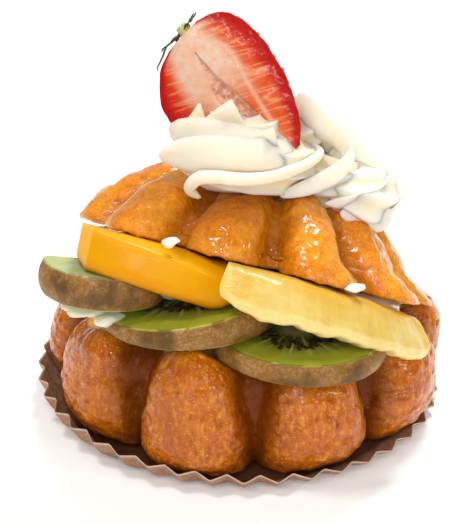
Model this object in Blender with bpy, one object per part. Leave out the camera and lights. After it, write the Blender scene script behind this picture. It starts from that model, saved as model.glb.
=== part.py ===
# Rum baba in a pleated paper case: a fluted cake, cut through and hinged open,
# filled with cream and fruit and topped with piped cream and half a strawberry.
# Metres, +Z up, the case stands on Z = 0, the fruit looks along -Y.
import math

import bmesh
import bpy
import numpy as np
from mathutils import Matrix, Vector

GAP = 0.0004            # clearance between pieces that rest on each other

# fluted cake
CAKE_CENTRE = (-0.0009, 0.0012)
CAKE_BOTTOM = 0.0009
# lobes, angle of the first groove, scale, columns in a lobe, seed, width share of a lobe low and high
BASE_FORM = (9, math.radians(3.0), 1.057, 12, 11, (0.95, 0.72))
LID_FORM = (10, math.radians(4.1), 1.002, 10, 4, (0.95, 0.80))
# heights above the floor, lobe radius, groove depth
WALL_ROWS = (
    (0.0000, 0.0390, 0.0060), (0.0017, 0.0428, 0.0075), (0.0050, 0.0456, 0.0088),
    (0.0100, 0.0471, 0.0092), (0.0180, 0.0468, 0.0092), (0.0255, 0.0455, 0.0088),
    (0.0300, 0.0430, 0.0082), (0.0345, 0.0392, 0.0074), (0.0385, 0.0348, 0.0062),
    (0.0415, 0.0302, 0.0046), (0.0435, 0.0252, 0.0030), (0.0440, 0.0215, 0.0018),
    (0.0422, 0.0150, 0.0008), (0.0412, 0.0070, 0.0000),
)
LOBE_POWER = 2.8        # how boxy a lobe is across its width
LOBE_ROUND = 0.58       # how round its shoulders are
LOBE_SOFTEN = 0.09      # share of a lobe over which the valley is rounded
GROOVE_MORE = 1.05      # share by which the valleys go deeper than the wall rows say

# cut through the cake and the hinge the upper part turns about
CUT_HEIGHT = 0.0248     # of the cut on the axis
CUT_SLOPE = 0.093       # fall of the cut toward the hinge
HINGE_DIRECTION = math.radians(60.1)
HINGE_OFFSET = 0.0242
LID_ANGLE = math.radians(24.0)
# places where the rim of the lower part stands higher or lower: x, y, reach, height
LIPS = ((-0.0130, -0.0460, 0.0135, 0.0072), (-0.0360, -0.0330, 0.0140, 0.0048),
        (-0.0480, 0.0050, 0.0180, -0.0034))
LID_NARROW = 0.15       # the upper part is this much narrower toward +X
LID_NARROW_RISE = 0.006

# paper case
CASE_CENTRE = (-0.0029, 0.0010)
PLEATS = 40
CASE_FLOOR_RADIUS = 0.0430
CASE_RIM_RADIUS = 0.0508
PAPER = 0.0005
PLEAT_HEIGHT = 0.0011   # half of the peak to valley distance at the rim

# kiwi slices: centre of the lower face, radius, thickness, normal of the lower face,
# growth of the thickness across and away, straight cut behind the centre
KIWI_RIGHT = dict(centre=(0.0108, -0.0290, 0.0289), radius=0.0206, thick=0.0052,
                  normal=(0.08, 0.06, 1.0), wedge=(0.03, 0.0), cut=0.0020)
KIWI_MIDDLE = dict(centre=(-0.0135, -0.0244, 0.0348), radius=0.0216, thick=0.0060,
                   normal=(-0.037, 0.12, 1.0), wedge=(0.11, 0.03), cut=0.0010)
KIWI_LEFT = dict(centre=(-0.0338, -0.0256, 0.0414), radius=0.0148, thick=0.0076,
                 normal=(0.073, 0.188, 1.0), wedge=(0.0, -0.02), cut=0.0010)
KIWI_BULGE = 0.0008     # the skin side swells by this much
KIWI_COLUMNS = 40

# mango wedge: front foot line from the slanting cut end to the rounded end, height, depth,
# share of the height where the front starts to lean back, and how far it leans, at each end
MANGO_FOOT = ((-0.0394, -0.0336, 0.0549), (-0.0370, -0.0372, 0.0530), (-0.0328, -0.0392, 0.0523),
              (-0.0272, -0.0406, 0.0512), (-0.0200, -0.0416, 0.0492), (-0.0133, -0.0416, 0.0470),
              (-0.0078, -0.0406, 0.0448), (-0.0016, -0.0380, 0.0446))
MANGO_HEIGHT = 0.0112
MANGO_DEPTH = 0.0170
MANGO_RIDGE = (0.90, 0.62)
MANGO_LEAN = (0.0008, 0.0062)

# pineapple: part of a ring lying under the lid
PINE_RADIUS = 0.0508
PINE_FROM = math.radians(-10.0)
PINE_TO = math.radians(59.0)
PINE_TOP = -0.0008      # from the underside of the lid
PINE_DROOP = 0.0022
PINE_HEIGHT = 0.0104
PINE_DEPTH = 0.0165
PINE_TOOTH = 0.0008
PINE_CREASE = 0.30      # share of the height where the cut face starts to lean back
PINE_LEAN = 0.0052
PINE_FORWARD = 0.0014

# cream between the cake halves
FILL_RADIUS = 0.0385
FILL_FRONT = -0.0270    # the cream starts this far behind the front of the slices
FILL_CLEAR = 0.0007
FILL_HINGE_CLEAR = 0.0045
FILL_VOXEL = 0.0011
FILL_TRIANGLES = 700

# piped cream on top: star ribbons wound in coils, folds laid over them, lifted tips
STAR_POINTS = 7
STAR_DEPTH = 0.24
# coil: centre, reach, reach at the end, first angle, turns, rise, tilt; then half width and twist
FRONT_COILS = (
    (((-0.0015, -0.0062, 0.0663), (0.0140, 0.0100), 0.0075, 190, 1.3, 0.0025, 0.45), 0.0062, 2.5),
    (((-0.0030, -0.0062, 0.0715), (0.0095, 0.0060), 0.0010, 200, 1.2, 0.0050, 0.30), 0.0056, 2.0),
)
BACK_COILS = (
    (((0.0200, 0.0025, 0.0550), (0.0100, 0.0090), 0.0060, -100, 1.3, 0.0055, 0.8), 0.0080, 2.5),
    (((0.0160, 0.0045, 0.0635), (0.0060, 0.0055), 0.0010, -60, 1.2, 0.0105, 0.3), 0.0055, 2.0),
)
# half height, thickness share, lean at both ends, points of the path
FRONT_FOLDS = (
    (0.0025, 0.95, (0.8, -0.2),
     ((-0.0114, -0.0210, 0.0637), (-0.0130, -0.0235, 0.0692), (-0.0022, -0.0255, 0.0708),
      (0.0092, -0.0205, 0.0706), (0.0160, -0.0080, 0.0693))),
    (0.0042, 0.62, (0.3, -0.4),
     ((-0.0209, -0.0120, 0.0695), (-0.0114, -0.0200, 0.0742), (0.0012, -0.0200, 0.0740),
      (0.0093, -0.0100, 0.0714))),
    (0.0038, 0.62, (0.3, -0.3),
     ((-0.0188, -0.0060, 0.0730), (-0.0115, -0.0150, 0.0769), (0.0000, -0.0160, 0.0758),
      (0.0085, -0.0080, 0.0720))),
)
BACK_FOLDS = (
    (0.0044, 0.60, (0.0, 0.8),
     ((0.0110, 0.0040, 0.0785), (0.0170, -0.0020, 0.0739), (0.0233, -0.0070, 0.0689),
      (0.0159, -0.0130, 0.0639), (0.0070, -0.0170, 0.0621))),
    (0.0054, 0.60, (0.0, 0.7),
     ((0.0163, 0.0020, 0.0711), (0.0279, 0.0000, 0.0636), (0.0291, -0.0060, 0.0577),
      (0.0177, -0.0130, 0.0584))),
    (0.0046, 0.65, (0.0, 0.7),
     ((0.0297, 0.0040, 0.0578), (0.0342, -0.0010, 0.0521), (0.0268, -0.0080, 0.0526),
      (0.0214, -0.0110, 0.0551))),
)
# foot and tip, half width, half thickness
PEAKS = (((-0.0129, -0.0080, 0.0728), (-0.0116, -0.0105, 0.0827), 0.0046, 0.0024),
         ((-0.0074, -0.0105, 0.0725), (-0.0042, -0.0140, 0.0852), 0.0094, 0.0030),
         ((0.0022, -0.0135, 0.0690), (0.0054, -0.0170, 0.0796), 0.0066, 0.0030))
ROSETTE_VOXEL = 0.0009
ROSETTE_TRIANGLES = 1150
ROSETTE_CLEAR = 0.0009

# half strawberry: calyx end, tip, half width, thickness
BERRY_TOP = (-0.0157, 0.0030, 0.0941)
BERRY_TIP = (0.0110, -0.0098, 0.0711)
BERRY_SHIFT = 0.0016    # the middle of the berry lies off the line from calyx to tip
BERRY_FACE = (-0.28, -0.90, 0.33)
BERRY_HALF_WIDTH = 0.0143
BERRY_THICK = 0.0110
BERRY_FULLER = 0.11     # the side turned down is fuller by this share
BERRY_HOLLOW = 0.0010
CALYX_SEPALS = 6
CALYX_STAR = 0.40
CALYX_BACK = 0.0006
CALYX_LIFT = 0.0008
# share of the length from the calyx, share of the half width
BERRY_ROWS = ((0.0, 0.30), (0.02, 0.55), (0.05, 0.70), (0.11, 0.84), (0.20, 0.95), (0.32, 1.0),
              (0.45, 0.97), (0.58, 0.89), (0.70, 0.74), (0.81, 0.56), (0.90, 0.38),
              (0.96, 0.21), (1.0, 0.07))


def clear_scene():
    """Remove every object and mesh of the file that is open."""
    for obj in list(bpy.data.objects):
        bpy.data.objects.remove(obj, do_unlink=True)
    for mesh in list(bpy.data.meshes):
        bpy.data.meshes.remove(mesh)


def material(name, colour, roughness):
    """One plain material of a colour and a roughness."""
    mat = bpy.data.materials.new(name)
    mat.use_nodes = True
    shader = mat.node_tree.nodes["Principled BSDF"]
    shader.inputs["Base Color"].default_value = (*colour, 1.0)
    shader.inputs["Roughness"].default_value = roughness
    shader.inputs["Metallic"].default_value = 0.0
    return mat


def add_object(name, verts, faces, mat=None):
    """Make an object of points and faces, with the faces turned outward."""
    mesh = bpy.data.meshes.new(name)
    mesh.from_pydata([tuple(v) for v in verts], [], [tuple(f) for f in faces])
    obj = bpy.data.objects.new(name, mesh)
    bpy.context.scene.collection.objects.link(obj)
    bm = bmesh.new()
    bm.from_mesh(mesh)
    bmesh.ops.recalc_face_normals(bm, faces=bm.faces)
    bm.to_mesh(mesh)
    bm.free()
    if mat:
        mesh.materials.append(mat)
    return obj


def loft(rings, cap_start=True, cap_end=True):
    """Points and faces of a skin through closed rings of equal length."""
    count = len(rings[0])
    verts = [p for ring in rings for p in ring]
    faces = []
    for r in range(len(rings) - 1):
        for c in range(count):
            d = (c + 1) % count
            a, b = r * count, (r + 1) * count
            faces.append((a + c, a + d, b + d, b + c))
    for wanted, first, ring in ((cap_start, 0, rings[0]),
                                (cap_end, (len(rings) - 1) * count, rings[-1])):
        if wanted:
            verts.append(np.mean(ring, axis=0))
            middle = len(verts) - 1
            for c in range(count):
                faces.append((first + c, first + (c + 1) % count, middle))
    return verts, faces


def triangulate(obj):
    """Split every face of the object into triangles."""
    bm = bmesh.new()
    bm.from_mesh(obj.data)
    bmesh.ops.triangulate(bm, faces=bm.faces)
    bm.to_mesh(obj.data)
    bm.free()


def smooth(obj, degrees=40.0):
    """Shade the object smooth, with edges kept above an angle."""
    for poly in obj.data.polygons:
        poly.use_smooth = True
    obj.data.set_sharp_from_angle(angle=math.radians(degrees))


def apply_modifiers(obj):
    """Replace the mesh of the object with what its modifiers make of it."""
    graph = bpy.context.evaluated_depsgraph_get()
    mesh = bpy.data.meshes.new_from_object(obj.evaluated_get(graph))
    old = obj.data
    obj.modifiers.clear()
    obj.data = mesh
    mesh.name = obj.name
    bpy.data.meshes.remove(old)


def boolean(obj, other, operation, solver="EXACT"):
    """Join or cut the object with another one, which is then removed."""
    mod = obj.modifiers.new(operation.lower(), "BOOLEAN")
    mod.operation = operation
    mod.solver = solver
    mod.object = other
    other.hide_render = True
    other.display_type = "WIRE"
    apply_modifiers(obj)
    bpy.data.objects.remove(other, do_unlink=True)


def bisect(obj, point, normal, keep_above):
    """Cut the object with a plane, close the cut and keep one side."""
    bm = bmesh.new()
    bm.from_mesh(obj.data)
    geometry = bm.verts[:] + bm.edges[:] + bm.faces[:]
    cut = bmesh.ops.bisect_plane(bm, geom=geometry, dist=1e-7, plane_co=point,
                                 plane_no=normal, clear_inner=keep_above,
                                 clear_outer=not keep_above)
    edges = [e for e in cut["geom_cut"] if isinstance(e, bmesh.types.BMEdge)]
    bmesh.ops.edgenet_fill(bm, edges=edges)
    bmesh.ops.recalc_face_normals(bm, faces=bm.faces)
    bm.to_mesh(obj.data)
    bm.free()


def remesh(obj, voxel, triangles):
    """Make one even closed skin of the object and thin it to a triangle count."""
    mod = obj.modifiers.new("remesh", "REMESH")
    mod.mode = "VOXEL"
    mod.voxel_size = voxel
    apply_modifiers(obj)
    triangulate(obj)
    mod = obj.modifiers.new("thin", "DECIMATE")
    mod.ratio = min(1.0, triangles / len(obj.data.polygons))
    mod.use_collapse_triangulate = True
    apply_modifiers(obj)


def keep_largest(obj):
    """Remove every loose part of the object but the largest."""
    bm = bmesh.new()
    bm.from_mesh(obj.data)
    left = set(bm.verts)
    parts = []
    while left:
        part = {left.pop()}
        edge = list(part)
        while edge:
            vert = edge.pop()
            for link in vert.link_edges:
                other = link.other_vert(vert)
                if other in left:
                    left.remove(other)
                    part.add(other)
                    edge.append(other)
        parts.append(part)
    parts.sort(key=len)
    for part in parts[:-1]:
        bmesh.ops.delete(bm, geom=list(part), context="VERTS")
    bm.to_mesh(obj.data)
    bm.free()


# directions and planes shared by the cake, the lid and the filling
TOWARD_HINGE = Vector((math.cos(HINGE_DIRECTION), math.sin(HINGE_DIRECTION), 0.0))
CUT_NORMAL = Vector((CUT_SLOPE * TOWARD_HINGE.x, CUT_SLOPE * TOWARD_HINGE.y, 1.0)).normalized()
CUT_POINT = Vector((0.0, 0.0, CUT_HEIGHT))
HINGE_POINT = TOWARD_HINGE * HINGE_OFFSET
HINGE_POINT.z = CUT_HEIGHT - CUT_SLOPE * HINGE_OFFSET
HINGE_AXIS = CUT_NORMAL.cross(TOWARD_HINGE).normalized()
LID_MATRIX = (Matrix.Translation(HINGE_POINT)
              @ Matrix.Rotation(LID_ANGLE, 4, HINGE_AXIS)
              @ Matrix.Translation(-HINGE_POINT))
CAKE_SHIFT = Matrix.Translation(Vector((*CAKE_CENTRE, 0.0)))
LID_NORMAL = LID_MATRIX.to_3x3() @ CUT_NORMAL


def cut_height(x, y):
    """Height of the cut over a point of the floor."""
    return CUT_HEIGHT - CUT_SLOPE * (x * TOWARD_HINGE.x + y * TOWARD_HINGE.y)


def lid_place(x, y, above):
    """Where a point above the cut of the closed cake goes when the lid is open."""
    return CAKE_SHIFT @ LID_MATRIX @ Vector((x, y, cut_height(x, y) + above))


def smooth_step(x, low, high):
    """0 below the low end, 1 above the high end, smooth between them."""
    t = np.clip((x - low) / (high - low), 0, 1)
    return t * t * (3 - 2 * t)


def lobe_shape(across, edge):
    """1 on the crown of a lobe, 0 in the valley, averaged so that the valley is round."""
    shape = np.zeros_like(across)
    offsets = np.linspace(-LOBE_SOFTEN, LOBE_SOFTEN, 7)
    for offset in offsets:
        near = np.abs((across + 1 + offset) % 2 - 1)
        shape += (1 - np.minimum(near / edge, 1) ** LOBE_POWER) ** LOBE_ROUND / len(offsets)
    return shape


def cake_rings(lobes, first_groove, scale, per_lobe, seed, edges):
    """Closed rings of a whole fluted cake, each lobe a little different."""
    rng = np.random.default_rng(seed)
    columns = lobes * per_lobe
    turn = np.arange(columns) * 2 * math.pi / columns
    angle = first_groove + turn
    lobe = np.floor(turn / (2 * math.pi / lobes) + 1e-6).astype(int)
    across = (turn * lobes / (2 * math.pi)) % 1.0 * 2 - 1
    swell = rng.uniform(-0.0007, 0.0007, lobes)[lobe]
    lean = rng.uniform(-0.0005, 0.0005, lobes)[lobe]
    rings = []
    for height, radius, groove in WALL_ROWS:
        edge = edges[0] + (edges[1] - edges[0]) * smooth_step(height, 0.004, 0.030)
        shape = lobe_shape(across, edge)
        r = radius * scale - GROOVE_MORE * groove * (1 - shape)
        r = r + shape * min(1.0, groove / 0.006) * (swell + lean * math.sin(height * 180.0))
        z = np.full(columns, CAKE_BOTTOM + height)
        if height > 0.03:
            z = z - 0.0014 * (1 - shape)
        # angle 0 looks along -Y, growing toward +X
        rings.append(np.stack([r * np.sin(angle), -r * np.cos(angle), z], axis=1))
    return rings


def turn_lid(obj):
    """Narrow the upper part toward +X and turn it about the hinge."""
    for vert in obj.data.vertices:
        x, y, z = vert.co
        share = min(1.0, max(0.0, (z - cut_height(x, y)) / LID_NARROW_RISE))
        vert.co = LID_MATRIX @ Vector((x * (1 - LID_NARROW * share) if x > 0 else x, y, z))


def lower_part(name, mat):
    """The cake below the cut, its rim raised and lowered in places."""
    obj = add_object(name, *loft(cake_rings(*BASE_FORM)), mat)
    bisect(obj, CUT_POINT, CUT_NORMAL, keep_above=False)
    for vert in obj.data.vertices:
        x, y, z = vert.co
        share = min(1.0, max(0.0, (z - 0.010) / (cut_height(x, y) - 0.010)))
        for lip_x, lip_y, reach, height in LIPS:
            away = math.hypot(x - lip_x, y - lip_y) / reach
            if away < 1.0:
                vert.co.z += height * share * math.cos(away * math.pi / 2) ** 2
    triangulate(obj)
    return obj


def upper_part(name, mat):
    """The cake above the cut, turned about the hinge."""
    obj = add_object(name, *loft(cake_rings(*LID_FORM)), mat)
    bisect(obj, CUT_POINT, CUT_NORMAL, keep_above=True)
    turn_lid(obj)
    triangulate(obj)
    return obj


def make_cake(mat):
    """Lower part and turned upper part joined to one body."""
    cake = lower_part("baba", mat)
    boolean(cake, upper_part("lid", mat), "UNION")
    triangulate(cake)
    cake.data.transform(CAKE_SHIFT)
    smooth(cake, 50.0)
    return cake


def case_rim_height(angle):
    """The rim stands high on the left and low on the right."""
    left = 0.5 - 0.5 * math.sin(angle)
    return 0.0025 + 0.0055 * left ** 1.3


def make_case(mat):
    """Pleated wall and flat floor of the paper case, inside and outside split alike."""
    columns = PLEATS * 4
    rows = (0.0, 0.50, 1.0)
    inner, outer = [], []
    for share in rows:
        ring_in, ring_out = [], []
        for c in range(columns):
            angle = c * 2 * math.pi / columns
            fold = (0.0, 1.0, 0.0, -1.0)[c % 4] * PLEAT_HEIGHT * min(1.0, share * 1.6)
            radius = CASE_FLOOR_RADIUS + (CASE_RIM_RADIUS - CASE_FLOOR_RADIUS
                                          - PLEAT_HEIGHT) * share + fold
            rise = case_rim_height(angle) * share ** 1.9
            across = (math.sin(angle), -math.cos(angle))
            ring_out.append((across[0] * radius, across[1] * radius, rise - 0.4 * fold * share))
            ring_in.append((across[0] * radius, across[1] * radius,
                            rise - 0.4 * fold * share + PAPER))
        outer.append(np.array(ring_out))
        inner.append(np.array(ring_in))
    for rings in (outer, inner):
        low = rings[0][:, 2].min()
        rings[0][:, 2] = low
    lowest = min(ring[:, 2].min() for ring in outer)
    for ring in outer + inner:
        ring[:, 2] -= lowest
    verts, faces = loft(outer + inner[::-1])
    obj = add_object("paper_case", verts, faces, mat)
    obj.data.transform(Matrix.Translation((*CASE_CENTRE, 0.0)))
    triangulate(obj)
    smooth(obj, 25.0)
    return obj


def make_kiwi(name, mat, centre, radius, thick, normal, wedge, cut, grow=0.0, below=0.0):
    """A slice of kiwi with swelling skin, cut straight just behind its core."""
    rng = np.random.default_rng(len(name))
    wobble = rng.uniform(0.0, 2 * math.pi, 2)
    angle = np.arange(KIWI_COLUMNS) * 2 * math.pi / KIWI_COLUMNS
    uneven = 1 + 0.012 * np.sin(2 * angle + wobble[0]) + 0.006 * np.sin(3 * angle + wobble[1])
    rings = []
    for share, pull in ((0.0, 0.0007), (0.10, 0.0), (0.5, -KIWI_BULGE), (0.90, 0.0), (1.0, 0.0006)):
        r = (radius - pull + grow) * uneven
        x, y = r * np.cos(angle), r * np.sin(angle)
        full = thick + wedge[0] * x + wedge[1] * y + 2 * grow + below
        rings.append(np.stack([x, y, share * full - grow - below], axis=1))
    verts, faces = loft(rings)
    obj = add_object(name, verts, faces, mat)
    bisect(obj, Vector((0.0, cut + grow, 0.0)), Vector((0.0, 1.0, 0.0)), keep_above=False)
    turn = Vector((0.0, 0.0, 1.0)).rotation_difference(Vector(normal)).to_matrix().to_4x4()
    obj.data.transform(Matrix.Translation(Vector(centre)) @ turn)
    triangulate(obj)
    smooth(obj, 35.0)
    return obj


def block_ring(front, inward, up, depth, height, power, points=14):
    """A boxy closed section standing on the front foot point."""
    turn = np.arange(points) * 2 * math.pi / points + math.pi / points
    c, s = np.cos(turn), np.sin(turn)
    u = np.sign(c) * np.abs(c) ** (2 / power)
    v = np.sign(s) * np.abs(s) ** (2 / power)
    middle = np.array(front) + np.array(inward) * depth / 2 + np.array(up) * height / 2
    return (middle + np.outer(u * depth / 2, inward) + np.outer(v * height / 2, up))


def tuck_under(ring):
    """Push back what would stand above the underside of the open lid."""
    normal = np.array(LID_NORMAL)
    above = (ring - np.array(CAKE_SHIFT @ HINGE_POINT)) @ normal + GAP
    return ring - np.outer(np.maximum(above, 0), normal)


def make_mango(mat, grow=0.0, name="mango_slice"):
    """A bar of mango with one slanting cut end and one rounded end, its upper front leaning back."""
    foot = np.array(MANGO_FOOT)
    far = np.concatenate([[0.0], np.cumsum(np.linalg.norm(np.diff(foot, axis=0), axis=1))])
    corner = far[1] / far[-1]
    stations = np.concatenate([[0.0, 0.012, corner * 0.97], np.linspace(corner, 0.84, 9),
                               (0.89, 0.93, 0.96, 0.985, 1.0)])
    along = foot[-1] - foot[1]
    tangent = along / np.linalg.norm(along)
    outward = np.array([along[1], -along[0], 0.0]) / np.linalg.norm(along[:2])
    inward = np.array(LID_NORMAL.cross(Vector(tangent)).normalized())
    up = np.cross(tangent, inward)
    up, inward = up * np.sign(up[2]), inward * np.sign(inward @ -outward)
    rings = []
    for u in stations:
        point = np.array([np.interp(u * far[-1], far, foot[:, k]) for k in range(3)])
        taper = math.sqrt(max(0.0, 1 - (max(0.0, u - 0.82) / 0.185) ** 2.4))
        blunt = 0.93 + 0.07 * float(smooth_step(u, 0.0, 0.012))
        height = MANGO_HEIGHT * blunt * (0.30 + 0.70 * taper)
        depth = MANGO_DEPTH * blunt * (0.40 + 0.60 * taper)
        front = point - outward * (0.3 * (MANGO_DEPTH - depth)) + up * (0.35 * (MANGO_HEIGHT - height))
        ring = block_ring(front, inward, up, depth, height, 4.2)
        rise = np.clip((ring - front) @ up / height, 0, 1)
        ridge = MANGO_RIDGE[0] + (MANGO_RIDGE[1] - MANGO_RIDGE[0]) * u
        lean = MANGO_LEAN[0] + (MANGO_LEAN[1] - MANGO_LEAN[0]) * u
        ring = ring + np.outer(np.maximum(0, rise - ridge) / (1 - ridge) * lean, inward)
        rings.append(tuck_under(ring))
    return grown_loft(name, rings, mat, grow)


def grown_loft(name, rings, mat, grow):
    """A loft whose skin is moved outward by a clearance."""
    verts, faces = loft(rings)
    obj = add_object(name, verts, faces, mat)
    if grow > 0.0:
        grow_mesh(obj, grow)
    triangulate(obj)
    smooth(obj, 40.0)
    return obj


def make_pineapple(mat, grow=0.0, name="pineapple_slice"):
    """Part of a pineapple ring lying along the front of the lid."""
    rng = np.random.default_rng(5)
    phase = rng.uniform(0, 2 * math.pi, 3)
    rings = []
    steps = 26
    for k in range(steps + 1):
        u = k / steps
        angle = PINE_FROM + (PINE_TO - PINE_FROM) * u
        left = min(1.0, (u + 0.02) / 0.20)
        right = min(1.0, (1.01 - u) / 0.08)
        depth = PINE_DEPTH * (0.22 + 0.78 * math.sin(left * math.pi / 2)) * (0.85 + 0.15 * right)
        height = PINE_HEIGHT * (0.55 + 0.45 * math.sin(min(1.0, left * 1.3) * math.pi / 2))
        height = height * (0.80 + 0.20 * math.sin(right * math.pi / 2))
        tooth = PINE_TOOTH * math.sin(u * 30 + phase[0]) + 0.5 * PINE_TOOTH * math.sin(u * 71 + phase[1])
        radius = PINE_RADIUS - 0.0015 * (1 - left) - 0.0012 * max(0.0, u - 0.6)
        across = Vector((math.sin(angle), -math.cos(angle), 0.0))
        top = lid_place(across.x * radius, across.y * radius, PINE_TOP) - LID_NORMAL * (PINE_DROOP * u * u)
        inward = (LID_MATRIX.to_3x3() @ -across).normalized()
        up = LID_NORMAL.normalized()
        front = top - up * height
        front, up, inward = np.array(front), np.array(up), np.array(inward)
        ring = block_ring(front, inward, up, depth, height, 5.0)
        low = 1 - np.clip((ring - front) @ up / height, 0, 1)
        near = 1 - np.clip((ring - front) @ inward / depth, 0, 1)
        ring = ring + np.outer(low ** 3 * near * tooth, up - inward)
        slant = np.maximum(0, (1 - low) - PINE_CREASE) / (1 - PINE_CREASE)
        ring = ring + np.outer(slant * PINE_LEAN * np.minimum(1, near / 0.4) - PINE_FORWARD * near, inward)
        rings.append(tuck_under(ring))
    return grown_loft(name, rings, mat, grow)


def make_filling(mat, cutters):
    """Cream that fills the mouth between the cake halves, behind the fruit."""
    columns = 40
    angle = np.arange(columns) * 2 * math.pi / columns
    radius = FILL_RADIUS + 0.0008 * np.sin(5 * angle + 1.0)
    rings = [np.stack([radius * np.cos(angle) - 0.001, radius * np.sin(angle),
                       np.full(columns, z)], axis=1) for z in (0.010, 0.075)]
    obj = add_object("cream_filling", *loft(rings), mat)
    bisect(obj, CUT_POINT + CUT_NORMAL * FILL_CLEAR, CUT_NORMAL, keep_above=True)
    bisect(obj, HINGE_POINT - LID_NORMAL * FILL_CLEAR, LID_NORMAL, keep_above=False)
    bisect(obj, HINGE_POINT - TOWARD_HINGE * FILL_HINGE_CLEAR, TOWARD_HINGE, keep_above=False)
    bisect(obj, Vector((0.0, FILL_FRONT, 0.0)), Vector((0.0, 1.0, 0.0)), keep_above=True)
    triangulate(obj)
    obj.data.transform(CAKE_SHIFT)
    for cutter in cutters:
        boolean(obj, cutter, "DIFFERENCE")
    remesh(obj, FILL_VOXEL, FILL_TRIANGLES)
    keep_largest(obj)
    smooth(obj, 60.0)
    return obj


def cut_clear(obj, neighbours, clearance=GAP):
    """Take away what would touch the pieces it rests on, with a clearance."""
    for neighbour in neighbours:
        boolean(obj, grown_copy(neighbour, clearance), "DIFFERENCE")
    keep_largest(obj)
    triangulate(obj)
    smooth(obj, 40.0)


def swept(path, section, sizes, first_side, turns):
    """Rings of a section carried along a path, with axes that turn as little as possible."""
    side = Vector(first_side)
    rings = []
    steps = len(path) - 1
    for k, point in enumerate(path):
        tangent = (path[min(k + 1, steps)] - path[max(k - 1, 0)]).normalized()
        side = (side - tangent * side.dot(tangent)).normalized()
        other = tangent.cross(side)
        c, s = math.cos(turns[k]), math.sin(turns[k])
        a = section[:, 0] * c - section[:, 1] * s
        b = section[:, 0] * s + section[:, 1] * c
        rings.append(np.array(point) + sizes[k] * (np.outer(a, side) + np.outer(b, other)))
    return rings


def star_ribbon(path, width, twist):
    """Rings of a ribbon with a star section, drawn to a point."""
    turn = np.arange(STAR_POINTS * 4) * 2 * math.pi / (STAR_POINTS * 4)
    star = 1 - STAR_DEPTH * (0.5 - 0.5 * np.cos(turn * STAR_POINTS))
    section = np.stack([star * np.cos(turn), star * np.sin(turn)], axis=1)
    u = np.linspace(0, 1, len(path))
    sizes = width * (0.20 + 0.80 * np.minimum(1, u / 0.10)) * (1 - u ** 5) ** 0.8 + 0.0003
    return swept([Vector(p) for p in path], section, sizes, (0, 0, 1), twist * u)


def through(points, steps):
    """Evenly stepped points of a smooth line through a few given ones."""
    points = np.array(points)
    far = np.concatenate([[0.0], np.cumsum(np.linalg.norm(np.diff(points, axis=0), axis=1))])
    slopes = np.gradient(points, far, axis=0)
    result = []
    for distance in np.linspace(0, far[-1], steps):
        k = min(int(np.searchsorted(far, distance, side="right")) - 1, len(far) - 2)
        h = far[k + 1] - far[k]
        t = (distance - far[k]) / h
        result.append(Vector((2 * t**3 - 3 * t**2 + 1) * points[k] + (t**3 - 2 * t**2 + t) * h * slopes[k]
                             + (3 * t**2 - 2 * t**3) * points[k + 1] + (t**3 - t**2) * h * slopes[k + 1]))
    return result


def cream_fold(high, thick, leans, points):
    """Rings of a drop section, crisp along its upper edge and drawn thin at both ends."""
    a = np.arange(20) * 2 * math.pi / 20
    section = np.stack([np.cos(a), thick * np.sin(a) * np.abs(np.sin(a / 2)) ** 2], axis=1)
    path = through(points, 30)
    u = np.linspace(0, 1, len(path))
    sizes = high * (0.12 + 0.88 * np.minimum(1, u / 0.18) ** 0.6) * np.maximum(1 - u ** 3, 0) ** 0.6 + 0.0003
    return swept(path, section, sizes, (0, 0, 1), leans[0] + (leans[1] - leans[0]) * u)


def cream_tip(foot, tip, wide, thick):
    """Rings of a flat lens that shrinks evenly to a lifted point."""
    a = np.arange(16) * 2 * math.pi / 16
    section = np.stack([np.cos(a), thick / wide * np.sin(a)], axis=1)
    path = through((foot, tip), 10)
    sizes = wide * (1 - np.linspace(0, 1, len(path))) + 0.0004
    return swept(path, section, sizes, (1, 0, 0), np.zeros(len(path)))


def spiral(centre, reach, end_reach, start, turns, rise, tilt, steps=44):
    """Points of a coil that winds inward and upward, leaning with the lid."""
    points = []
    slope = (LID_NORMAL.x / LID_NORMAL.z, LID_NORMAL.y / LID_NORMAL.z)
    for k in range(steps + 1):
        u = k / steps
        angle = math.radians(start + turns * 360.0 * u)
        x = (reach[0] + (end_reach - reach[0]) * u) * math.cos(angle)
        y = (reach[1] + (end_reach - reach[1]) * u) * math.sin(angle)
        lean = tilt * (1 - u) * (slope[0] * x + slope[1] * y)
        points.append((centre[0] + x, centre[1] + y, centre[2] + rise * u - lean))
    return points


def make_rosette(name, mat, coils, folds, tips, keep_off):
    """Piped strands of cream joined to one body and cut clear of its neighbours."""
    strands = [star_ribbon(spiral(*coil), width, twist) for coil, width, twist in coils]
    strands += [cream_fold(*fold) for fold in folds] + [cream_tip(*tip) for tip in tips]
    verts, faces = [], []
    for rings in strands:
        more, quads = loft(rings)
        faces += [tuple(i + len(verts) for i in face) for face in quads]
        verts += more
    obj = add_object(name, verts, faces, mat)
    remesh(obj, ROSETTE_VOXEL, 6 * ROSETTE_TRIANGLES)
    for neighbour in keep_off:
        boolean(obj, grown_copy(neighbour, ROSETTE_CLEAR), "DIFFERENCE", "MANIFOLD")
    remesh(obj, ROSETTE_VOXEL, ROSETTE_TRIANGLES)
    # thinning may bring the skin back to a neighbour, so it is cut once more
    for neighbour in keep_off:
        boolean(obj, grown_copy(neighbour, GAP), "DIFFERENCE", "MANIFOLD")
    keep_largest(obj)
    triangulate(obj)
    smooth(obj, 60.0)
    return obj


def berry_frame():
    """Axes of the strawberry: along, across and out of the cut face."""
    top, tip = Vector(BERRY_TOP), Vector(BERRY_TIP)
    along = (tip - top).normalized()
    face = Vector(BERRY_FACE)
    face = (face - along * face.dot(along)).normalized()
    across = face.cross(along)
    return top, tip, along, across, face


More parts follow.
